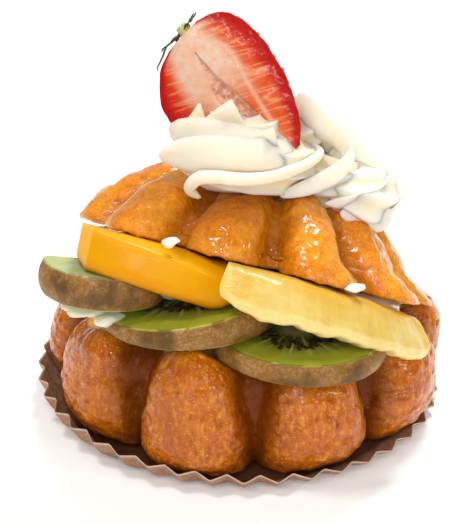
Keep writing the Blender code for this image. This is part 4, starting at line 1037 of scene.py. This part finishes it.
creamForm = dict(points=7, around=98, foldAround=72, peakAround=64, frontStar=(0.26, 0.8),
                 backStar=(0.17, 1.1), front=(-0.0015, -0.0062, 0.0655), back=(0.0200, 0.0025, 0.0550))


def coil(centre, reach, endReach, start, turns, rise, tilt, steps):
    # winds inward and upward; the foot leans with the lid
    u = np.linspace(0, 1, steps)
    angle = math.radians(start) + turns * tau * u
    x = (reach[0] + (endReach - reach[0]) * u) * np.cos(angle)
    y = (reach[1] + (endReach - reach[1]) * u) * np.sin(angle)
    lean = tilt * (1 - u) * (lidNormal[0] / lidNormal[2] * x + lidNormal[1] / lidNormal[2] * y)
    return np.stack([centre[0] + x, centre[1] + y, centre[2] + rise * u - lean], axis=-1) + shift


def ribbon(path, width, twist, depth, sharp):
    # a star section that swells quickly from its start and closes at its end
    section, wave = starSection(creamForm["points"], depth, sharp, creamForm["around"])
    u = np.linspace(0, 1, len(path))
    widths = width * (0.20 + 0.80 * np.minimum(1, u / 0.10) ** 0.7) * (1 - u ** 5) ** 0.8 + 0.00015
    grid = ruffle(carry(path, (0, 0, 1), widths, section, twist * u), 0.003, 61, 0.00016)
    return grid, dict(valley=wave)


def fold(points, high, fat, turn, seed, tailIn=0.12):
    # a drop-shaped section, crisp along its upper edge, carried along a path and drawn thin at both ends
    a = np.arange(creamForm["foldAround"]) * tau / creamForm["foldAround"]
    section = np.stack([np.cos(a), fat * np.sin(a) * np.abs(np.sin(a / 2)) ** 2.0], axis=-1)
    path = smoothPath(np.array(points) * 0.001, 150) + shift
    u = np.linspace(0, 1, len(path))
    swell = 0.12 + 0.88 * np.minimum(1, u / tailIn) ** 0.6
    width = high * swell * np.maximum(1 - u ** 3, 0) ** 0.6 + 0.0001
    grid = carry(path, (0, 0, 1), width, section, np.interp(u, np.linspace(0, 1, len(turn)), turn))
    wave = softNoise(np.stack([u * 5, 0 * u, 0 * u + seed], axis=-1), 1.0, seed) * 0.0004
    edge = (np.cos(a) * 0.5 + 0.5) ** 2
    grid = grid + (wave[:, None] * edge)[..., None] * np.array([0.3, -0.6, 0.7])
    return ruffle(grid, 0.0022, seed, 0.00009), dict(valley=(0.5 - 0.5 * np.cos(a)) ** 4 * 0.6)


def peak(points, wide, thick, order):
    # a lifted tip: a thin lens of a section that shrinks evenly to a point
    a = np.arange(creamForm["peakAround"]) * tau / creamForm["peakAround"]
    section = np.stack([np.cos(a), thick / wide * np.sin(a) * np.abs(np.sin(a)) ** 0.35], axis=-1)
    path = smoothPath(np.array(points) * 0.001, 90) + shift
    u = np.linspace(0, 1, len(path))
    width = wide * (1 - u) ** 0.95 + 0.00008
    grid = carry(path, (1, 0, 0), width, section, 0.1 * np.sin(u * 3 + 0.3 + order))
    return ruffle(grid, 0.0030, 7 + order, 0.00014), dict(valley=(1 - u[:, None]) ** 3 * 0.8)


creamFolds = dict(
    roll=dict(points=((-11.4, -21.0, 63.7), (-13.7, -22.5, 67.0), (-12.2, -24.0, 70.2), (-7.9, -25.0, 71.2),
                      (-2.2, -25.5, 70.8), (4.1, -24.0, 70.6), (9.2, -20.5, 70.6), (13.4, -15.0, 70.0),
                      (16.0, -8.0, 69.3), (13.2, 0.0, 68.1)),
              high=0.0023, fat=0.95, turn=(0.9, 0.5, 0.2, 0.0, -0.3), seed=101),
    leaf=dict(points=((-20.9, -12.0, 69.5), (-17.2, -16.5, 72.0), (-11.4, -20.0, 74.2), (-5.0, -21.5, 75.0),
                      (1.2, -20.0, 74.0), (6.5, -16.0, 72.4), (9.3, -10.0, 71.4), (7.1, -3.0, 71.0)),
              high=0.0042, fat=0.62, turn=(0.5, 0.0, -0.25, -0.4), seed=102, tailIn=0.22),
    third=dict(points=((-18.8, -6.0, 73.0), (-16.2, -11.0, 75.0), (-11.5, -15.0, 76.9), (-5.7, -17.0, 76.8),
                       (0.0, -16.0, 75.8), (5.1, -13.0, 74.0), (8.5, -8.0, 72.0)),
               high=0.0038, fat=0.62, turn=(0.4, 0.0, -0.25, -0.3), seed=103, tailIn=0.20),
    backTop=dict(points=((11.0, 4.0, 78.5), (13.3, 1.0, 76.7), (17.0, -2.0, 73.9), (21.3, -4.0, 71.6),
                         (23.3, -7.0, 68.9), (21.1, -10.0, 66.1), (15.9, -13.0, 63.9), (9.8, -16.0, 62.7),
                         (7.0, -17.0, 62.1)), high=0.0044, fat=0.60, turn=(0.0, 0.2, 0.6, 0.8), seed=104),
    backMiddle=dict(points=((16.3, 2.0, 71.1), (22.8, 2.0, 68.0), (27.9, 0.0, 63.6), (30.7, -2.0, 59.8),
                            (29.1, -6.0, 57.7), (23.7, -10.0, 57.8), (17.7, -13.0, 58.4)),
                    high=0.0054, fat=0.60, turn=(0.0, 0.2, 0.5, 0.7), seed=105),
    backLow=dict(points=((29.7, 4.0, 57.8), (32.8, 2.0, 55.3), (34.2, -1.0, 52.1), (32.9, -4.0, 50.4),
                         (26.8, -8.0, 52.6), (21.4, -11.0, 55.1)),
                 high=0.0046, fat=0.65, turn=(0.0, 0.4, 0.7), seed=106))
creamPeaks = ((((-12.9, -8.0, 72.8), (-12.4, -9.5, 77.5), (-11.6, -10.5, 82.7)), 0.0046, 0.0022),
              (((-7.4, -10.5, 72.5), (-5.9, -12.5, 78.5), (-4.2, -14.0, 85.2)), 0.0094, 0.0030),
              (((2.2, -13.5, 69.0), (3.4, -15.5, 74.5), (5.4, -17.0, 79.6)), 0.0066, 0.0030))

front, back = creamForm["front"], creamForm["back"]
frontParts = [
    ribbon(coil((front[0], front[1], front[2] + 0.0008), (0.0140, 0.0100), 0.0075, 190, 1.3,
                0.0025, 0.45, 260), 0.0062, 2.5, *creamForm["frontStar"]),
    ribbon(coil((front[0] - 0.0015, front[1], front[2] + 0.0060), (0.0095, 0.0060), 0.0010, 200, 1.2,
                0.0050, 0.3, 200), 0.0056, 2.0, *creamForm["frontStar"])]
frontParts += [fold(**creamFolds[key]) for key in ("roll", "leaf", "third")]
frontParts += [peak(points, wide, thick, k) for k, (points, wide, thick) in enumerate(creamPeaks)]
backParts = [
    ribbon(coil(back, (0.0100, 0.0090), 0.0060, -100, 1.3, 0.0055, 0.8, 240), 0.0080, 2.5,
           *creamForm["backStar"]),
    ribbon(coil((back[0] - 0.004, back[1] + 0.002, back[2] + 0.0085), (0.0060, 0.0055), 0.0010, -60, 1.2,
                0.0105, 0.3, 200), 0.0055, 2.0, *creamForm["backStar"])]
backParts += [fold(**creamFolds[key]) for key in ("backTop", "backMiddle", "backLow")]
settle(joinGrids("creamRosetteFront", frontParts, creamFinish), "cream", "cream_rosette_front")
settle(joinGrids("creamRosetteBack", backParts, creamPaintedLight), "cream", "cream_rosette_back")
print("cream made")


# half a strawberry

berryForm = dict(top=(-0.0157, 0.0030, 0.0941), tip=(0.0110, -0.0098, 0.0711), offset=0.0016,
                 face=(-0.28, -0.90, 0.33), half=0.0143, thick=0.0110, around=320,
                 rows=((0.0, 0.30), (0.02, 0.55), (0.05, 0.70), (0.11, 0.84), (0.20, 0.95), (0.32, 1.0),
                       (0.45, 0.97), (0.58, 0.89), (0.70, 0.74), (0.81, 0.56), (0.90, 0.38),
                       (0.96, 0.21), (1.0, 0.07)),
                 cordRight=((0, 0.05, 0.15, 0.25, 0.37, 0.49, 0.61, 0.76, 0.95),
                            (0.2, 0.27, 0.38, 0.48, 0.45, 0.35, 0.29, 0.20, 0.05)),
                 cordLeft=((0, 0.1, 0.2, 0.35, 0.5, 0.8, 0.95),
                           (-0.1, -0.14, -0.18, -0.26, -0.30, -0.24, -0.05)))
berryTop, berryTip = np.array(berryForm["top"]), np.array(berryForm["tip"])
berryAlong = unit(berryTip - berryTop)
berryFace = np.array(berryForm["face"])
berryFace = unit(berryFace - berryAlong * (berryFace @ berryAlong))
berryAcross = np.cross(berryFace, berryAlong)
berryLength = float(np.linalg.norm(berryTip - berryTop))
berryRows = np.array(berryForm["rows"])   # place from calyx to tip, share of the half width


def berryPlace(local):
    # from (across the face, toward the tip, out of the face) to the frame
    return (berryTop + berryAcross * local[..., :1] + berryAlong * local[..., 1:2]
            + berryFace * local[..., 2:3]) + shift


def makeBerry(mat):
    # u runs from calyx to tip, a goes round: a flat face with a hollow for y > 0, a round back for y < 0
    u = np.concatenate([np.linspace(0, 0.06, 14)[:-1], np.linspace(0.06, 0.94, 150),
                        np.linspace(0.945, 1, 12)])
    share = np.interp(u, *berryRows.T)
    share = np.convolve(np.pad(share, 3, mode="edge"), np.ones(7) / 7, mode="valid")
    uu, aa = np.meshgrid(u, np.arange(berryForm["around"]) * tau / berryForm["around"], indexing="ij")
    q = np.cos(aa)
    # the side turned down and left is fuller
    fuller = 1 + 0.11 * np.maximum(0, -q) * np.exp(-((uu - 0.27) / 0.17) ** 2)
    half = berryForm["half"] * share[:, None] * fuller
    x = half * q
    backSide = berryForm["thick"] * share[:, None] * np.sin(aa)
    onFace = (np.sin(aa) >= 0) * 1.0
    # hollow of the core: a wedge, pointed toward the calyx
    middle = -0.0013 * smoothStep(uu, 0.14, 0.42)
    wide = 0.00012 + 0.0023 * smoothStep(uu, 0.12, 0.50) * smoothStep(0.80 - uu, 0.0, 0.16)
    hollow = np.clip(1.15 - ((x - middle) / wide) ** 2, 0, 1) ** 0.7 * (uu > 0.13) * (uu < 0.75)
    flat = 0.0012 * np.sin(aa) * (1 - q ** 2)
    y = np.where(np.sin(aa) < 0, backSide, flat - 0.0009 * hollow)
    # seeds sit in dimples of the back, the face is fleshy
    pockets = np.maximum(0, np.sin(uu * 62 + np.round(aa * 6) * math.pi) * np.cos(aa * 22)) ** 3
    y = y + (1 - onFace) * pockets * 0.00030
    place = np.stack([x, uu * berryLength, 0 * x], axis=-1)
    lumps = softNoise(place, 0.0016, 81) * 0.00012 + softNoise(place, 0.0007, 82) * 0.0003 * hollow
    y = y + lumps * onFace * smoothStep(1 - np.abs(q), 0.0, 0.12)
    notch = softNoise(np.stack([uu * 26, np.sign(q), 0 * uu], axis=-1), 1.0, 5) * 0.00022
    notch = notch * smoothStep(np.abs(q), 0.9, 1.0)
    # the two pale cords beside the core, then the colour bands across the face
    right = np.interp(uu, *berryForm["cordRight"])
    left = np.interp(uu, *berryForm["cordLeft"])
    near = np.minimum(np.abs(q - right), np.abs(q - left)) * half
    cord = np.exp(-(near / np.where(q > 0.05, 0.00060, 0.00110)) ** 2)
    cord = cord * smoothStep(uu, 0.02, 0.15) * smoothStep(1 - uu, 0.02, 0.25)
    core = (1 - smoothStep(np.abs(q + 0.05), 0.36, 0.66)) * (1 - smoothStep(uu, 0.26, 0.66))
    core = np.maximum(core, (1 - smoothStep(uu, 0.02, 0.10)) * (1 - smoothStep(np.abs(q), 0.5, 0.9)))
    toRim = (1 - np.abs(q)) * half
    rim = np.where(onFace > 0, 1 - smoothStep(toRim, 0.0008, np.where(q > 0, 0.0046, 0.0032)), 1.0)
    outer = np.where(onFace > 0, smoothStep(np.abs(q), 0.35, 1.0), 1.0)
    x = x + np.sign(q) * notch - berryForm["offset"] * np.sin(math.pi * uu)
    grid = berryPlace(np.stack([x, uu * berryLength, y], axis=-1))
    # uv in steps of 30 mm: across the face, and a lane that slants along the streaks
    across, along = place[..., 0], place[..., 1]
    uv = np.stack([across / 0.030 + 0.5, (along - 0.57 * across) / 0.030], axis=-1)
    values = dict(face=onFace, rim=rim, outer=outer, core=core * onFace, cord=cord * onFace,
                  hollow=hollow * onFace)
    return gridObject("strawberryHalf", grid, mat, values, uv, flip=True)


def makeBerryFinish():
    look = dict(skin=(0.38, 0.004, 0.006), skinDark=(0.16, 0.001, 0.003), rim=(0.40, 0.002, 0.002),
                red=(0.54, 0.014, 0.003), flesh=(0.64, 0.090, 0.014), pale=(0.76, 0.32, 0.16),
                core=(0.70, 0.53, 0.40), hollow=(0.74, 0.40, 0.28), pit=(0.52, 0.23, 0.15))
    f = Finish("strawberry", Roughness=0.32, Specular_IOR_Level=0.10, Coat_Weight=0.20, Coat_Roughness=0.08,
               Subsurface_Weight=0.10, Subsurface_Scale=0.002, Subsurface_Radius=(1.0, 0.25, 0.12))
    split = f.nodes.new("ShaderNodeSeparateXYZ")
    f.link(f.pattern, split.inputs[0])
    join = f.nodes.new("ShaderNodeCombineXYZ")
    f.link(f.math("MULTIPLY", split.outputs[1], 13.0), join.inputs[0])
    f.link(f.math("MULTIPLY", split.outputs[0], 1.5), join.inputs[1])
    streak = f.noise(1.0, 0.6, join.outputs[0], 0.1)
    fine = f.noise(4.0, 2.0, join.outputs[0], 0.1)
    spots = f.noise(520.0, 3.0)
    body = f.mix(f.range(f.math("ADD", f.attribute("outer"), f.math("MULTIPLY", spots, 0.5)), 0.45, 1.15),
                 look["flesh"], look["red"])
    redder = f.math("MULTIPLY", f.range(streak, 0.47, 0.34, 0.0, 0.75), f.attribute("outer"))
    body = f.mix(redder, body, look["red"])
    thin = f.range(f.math("ABSOLUTE", f.math("SUBTRACT", streak, 0.53)), 0.0, 0.055, 0.55, 0.0)
    thin = f.math("MULTIPLY", thin, f.range(f.attribute("outer"), 0.95, 0.55, 0.1, 1.0))
    body = f.mix(thin, body, look["pale"])
    body = f.mix(f.range(fine, 0.54, 0.70, 0.0, 0.14), body, look["pale"])
    body = f.mix(f.math("MULTIPLY", f.attribute("rim"), 0.95), body, look["rim"])
    body = f.mix(f.math("MULTIPLY", f.attribute("core"), 0.92), body,
                 f.mix(f.range(spots, 0.35, 0.65, 0.0, 0.5), look["core"], look["pale"]))
    body = f.mix(f.math("MULTIPLY", f.attribute("cord"), 0.80), body, f.mix(0.5, look["core"], look["pale"]))
    inside = f.mix(f.range(f.noise(800.0, 3.0), 0.42, 0.60), look["pit"], look["hollow"])
    body = f.mix(f.range(f.attribute("hollow"), 0.15, 0.75, 0.0, 0.95), body, inside)
    outside = f.mix(f.range(f.noise(300.0, 3.0), 0.4, 0.7), look["skin"], look["skinDark"])
    f.colour(f.mix(f.attribute("face"), outside, body))
    f.rough(f.range(f.attribute("face"), 0.0, 1.0, 0.20, 0.34))
    f.bump(f.math("ADD", streak, f.noise(1400.0, 3.0)), 0.35, 0.0004)
    return f.mat


settle(makeBerry(makeBerryFinish()), "strawberry", "strawberry_half")


def makeSeedDots(name, mat):
    # small pointed drops in rows round the back of the berry
    parts = []
    for i, u in enumerate(np.linspace(0.08, 0.93, 11)):
        share = float(np.interp(u, *berryRows.T))
        count = max(3, int(round(9 * share)))
        for k in range(count):
            a = math.pi + math.pi * (k + 0.5 + 0.25 * (i % 2 - 0.5)) / count
            x, y = berryForm["half"] * share * math.cos(a), berryForm["thick"] * share * math.sin(a)
            x -= berryForm["offset"] * math.sin(math.pi * u)
            outward = unit(np.array([math.cos(a) / berryForm["half"], 0, math.sin(a) / berryForm["thick"]]))
            s = np.linspace(0.05, 0.95, 6)[:, None]
            v = np.arange(7)[None, :] * tau / 7
            width = 0.00042 * np.sin(s * math.pi) ** 0.7
            along = (s - 0.5) * 0.0013 + 0 * v
            side = np.array([outward[2], 0, -outward[0]])
            centre = np.array([x, u * berryLength, y]) + outward * 0.00004
            local = (centre + along[..., None] * np.array([0, 1, 0]) + (width * np.cos(v))[..., None] * side
                     + (0.5 * width * np.sin(v))[..., None] * outward)
            parts.append((berryPlace(local), {}))
    return joinGrids(name, parts, mat)


def makeSeedGold():
    f = Finish("berrySeed", Roughness=0.4, Coat_Weight=0.3)
    f.colour(f.ramp(f.noise(800.0), (0.3, (0.55, 0.28, 0.05)), (0.8, (0.70, 0.45, 0.12))))
    return f.mat


settle(makeSeedDots("strawberrySeeds", makeSeedGold()), "strawberry")


# each sepal: angle round the stalk and length
calyxForm = dict(around=40, stalk=0.0017, back=-0.0018, width=0.00130,
                 sepals=((3.02, 0.0100), (0.12, 0.0050), (3.55, 0.0072), (4.2, 0.0058), (5.0, 0.0056),
                         (5.75, 0.0058)))


def makeCalyx(mat):
    # stump: a short tapered stalk; sepals: narrow leaves curling off the shoulder, thin in section
    v = np.arange(calyxForm["around"]) * tau / calyxForm["around"]
    s = np.linspace(0, 1, 18)[:, None]
    r = calyxForm["stalk"] - 0.0003 * s + 0.0001 * np.sin(v * 5)
    back = calyxForm["back"]
    stump = np.stack([0.0008 + r * np.cos(v), 0.0003 - 0.0026 * s + 0 * v,
                      back + r * np.sin(v) * 0.9], axis=-1)
    parts = [(berryPlace(stump), dict(leaf=0 * r))]
    for k, (a, length) in enumerate(calyxForm["sepals"]):
        u = np.linspace(0, 1, 30)[:, None]
        width = calyxForm["width"] * np.sin(np.clip(u * 0.93 + 0.05, 0, 1) * math.pi) ** 0.7
        out = 0.0006 + length * u
        ex, ez = math.cos(a), math.sin(a) * 0.7
        fall = np.interp(out / berryForm["half"], berryRows[:6, 1], berryRows[:6, 0]) * berryLength
        ly = fall - 0.0011 - 0.0007 * u ** 2 * (k % 3) + 0.00025 * np.sin(u * 11 + k) + 0.00018 * np.sin(v)
        lx = ex * out - ez * width * np.cos(v)
        lz = ez * out + ex * width * np.cos(v) + back * 0.6
        parts.append((berryPlace(np.stack([lx, ly, lz], axis=-1)), dict(leaf=np.ones_like(lx))))
    return joinGrids("strawberryCalyx", parts, mat)


def makeCalyxFinish():
    f = Finish("sepals", Roughness=0.55, Coat_Weight=0.1)
    leaf = f.mix(f.range(f.noise(420.0, 3.0), 0.35, 0.7), (0.045, 0.040, 0.010), (0.13, 0.12, 0.030))
    stalk = f.mix(f.range(f.noise(500.0, 3.0), 0.35, 0.7), (0.42, 0.44, 0.14), (0.58, 0.56, 0.27))
    f.colour(f.mix(f.attribute("leaf"), stalk, leaf))
    f.bump(f.noise(1800.0, 3.0), 0.4, 0.0003)
    return f.mat


settle(makeCalyx(makeCalyxFinish()), "sepals", "strawberry_calyx")
print("strawberry made")


# floor, light and camera

stageForm = dict(floor=0.9, drop=0.0001, world=0.32, elevation=26.0, distance=0.450,
                 target=(*shift[:2], 0.050), focal=1850.0, centre=(249.8, 210.8), photo=(476, 524),
                 sensor=24.0, roll=0.1)
white = (1.0, 1.0, 1.0)


def makeStage():
    finish = Finish("floorWhite", Roughness=0.75, Emission_Color=(*white, 1.0), Emission_Strength=0.12)
    tone = finish.range(finish.noise(30.0), 0.3, 0.7)
    finish.colour(finish.mix(tone, (0.90, 0.90, 0.90), (0.93, 0.93, 0.93)))
    size, low = stageForm["floor"], -stageForm["drop"]
    corners = [(-size, -size, low), (size, -size, low), (size, size, low), (-size, size, low)]
    meshObject("floor", corners, [[0, 1, 2, 3]], finish.mat)
    world = bpy.data.worlds.new("studio")
    bpy.context.scene.world = world
    world.use_nodes = True
    background = world.node_tree.nodes["Background"].inputs
    background["Color"].default_value = (*white, 1.0)
    background["Strength"].default_value = stageForm["world"]
    bpy.context.scene.view_settings.view_transform = "Standard"
    bpy.context.scene.view_settings.look = "None"


def addLamp(name, size, power, colour, place):
    light = bpy.data.lights.new(name, "AREA")
    light.shape = "RECTANGLE"
    light.size, light.size_y = size
    light.energy = power
    light.color = colour
    obj = bpy.data.objects.new(name, light)
    obj.matrix_world = place
    bpy.context.scene.collection.objects.link(obj)


def makeLight(name, place, aim, size, power, colour=white):
    turn = (Vector(aim) - Vector(place)).to_track_quat("-Z", "Y").to_matrix().to_4x4()
    addLamp(name, size, power, colour, Matrix.Translation(Vector(place)) @ turn)


def makeRing(name, place, aim, radius, bar, power, count, colour):
    # straight lamps tangent to a circle that faces the aim; its mirror image is a thin ring on each wet lobe
    way = (Vector(aim) - Vector(place)).normalized()
    first = way.cross(Vector((0, 0, 1))).normalized()
    second = first.cross(way)
    for k in range(count):
        turn = tau * (k + 0.5) / count
        out = first * math.cos(turn) + second * math.sin(turn)
        axes = Matrix((way.cross(out), out, -way)).transposed().to_4x4()
        addLamp(name + str(k), (2 * radius * math.tan(math.pi / count), bar), power / count, colour,
                Matrix.Translation(Vector(place) + out * radius) @ axes)


def makeCamera():
    # the photo's view: focal length and picture centre are in its pixels
    form = stageForm
    wide, high = form["photo"]
    camera = bpy.data.cameras.new("photoCamera")
    camera.sensor_fit = "VERTICAL"
    camera.sensor_height = form["sensor"]
    camera.lens = form["focal"] * form["sensor"] / high
    camera.shift_x = (wide / 2 - form["centre"][0]) / high
    camera.shift_y = (form["centre"][1] - high / 2) / high
    camera.clip_start = 0.01
    tilt = math.radians(form["elevation"])
    ahead = Vector((0.0, math.cos(tilt), -math.sin(tilt)))
    obj = bpy.data.objects.new("photoCamera", camera)
    obj.matrix_world = (Matrix.Translation(Vector(form["target"]) - ahead * form["distance"])
                        @ ahead.to_track_quat("-Z", "Y").to_matrix().to_4x4()
                        @ Matrix.Rotation(math.radians(form["roll"]), 4, "Z"))
    bpy.context.scene.collection.objects.link(obj)
    bpy.context.scene.camera = obj


makeStage()
makeLight("keyLight", (-0.22, -0.10, 0.72), (0, 0, 0.04), (0.13, 0.13), 1.75, (1.0, 0.99, 0.97))
makeRing("frontRing", (-0.06, -0.60, 0.50), (0, 0, 0.05), 0.18, 0.010, 2.25, 10, (1.0, 0.99, 0.98))
makeLight("fillLight", (0.50, -0.46, 0.26), (0, 0, 0.04), (0.15, 0.15), 0.6)
makeLight("backLight", (0.16, 0.30, 0.62), (0, 0, 0.04), (0.20, 0.14), 3.6)
makeLight("sparkLeft", (-0.34, -0.40, 0.48), (0, 0, 0.04), (0.030, 0.030), 0.30)
makeLight("sparkRight", (0.44, -0.22, 0.52), (0, 0, 0.04), (0.030, 0.030), 0.30)
makeCamera()
print("stage made")
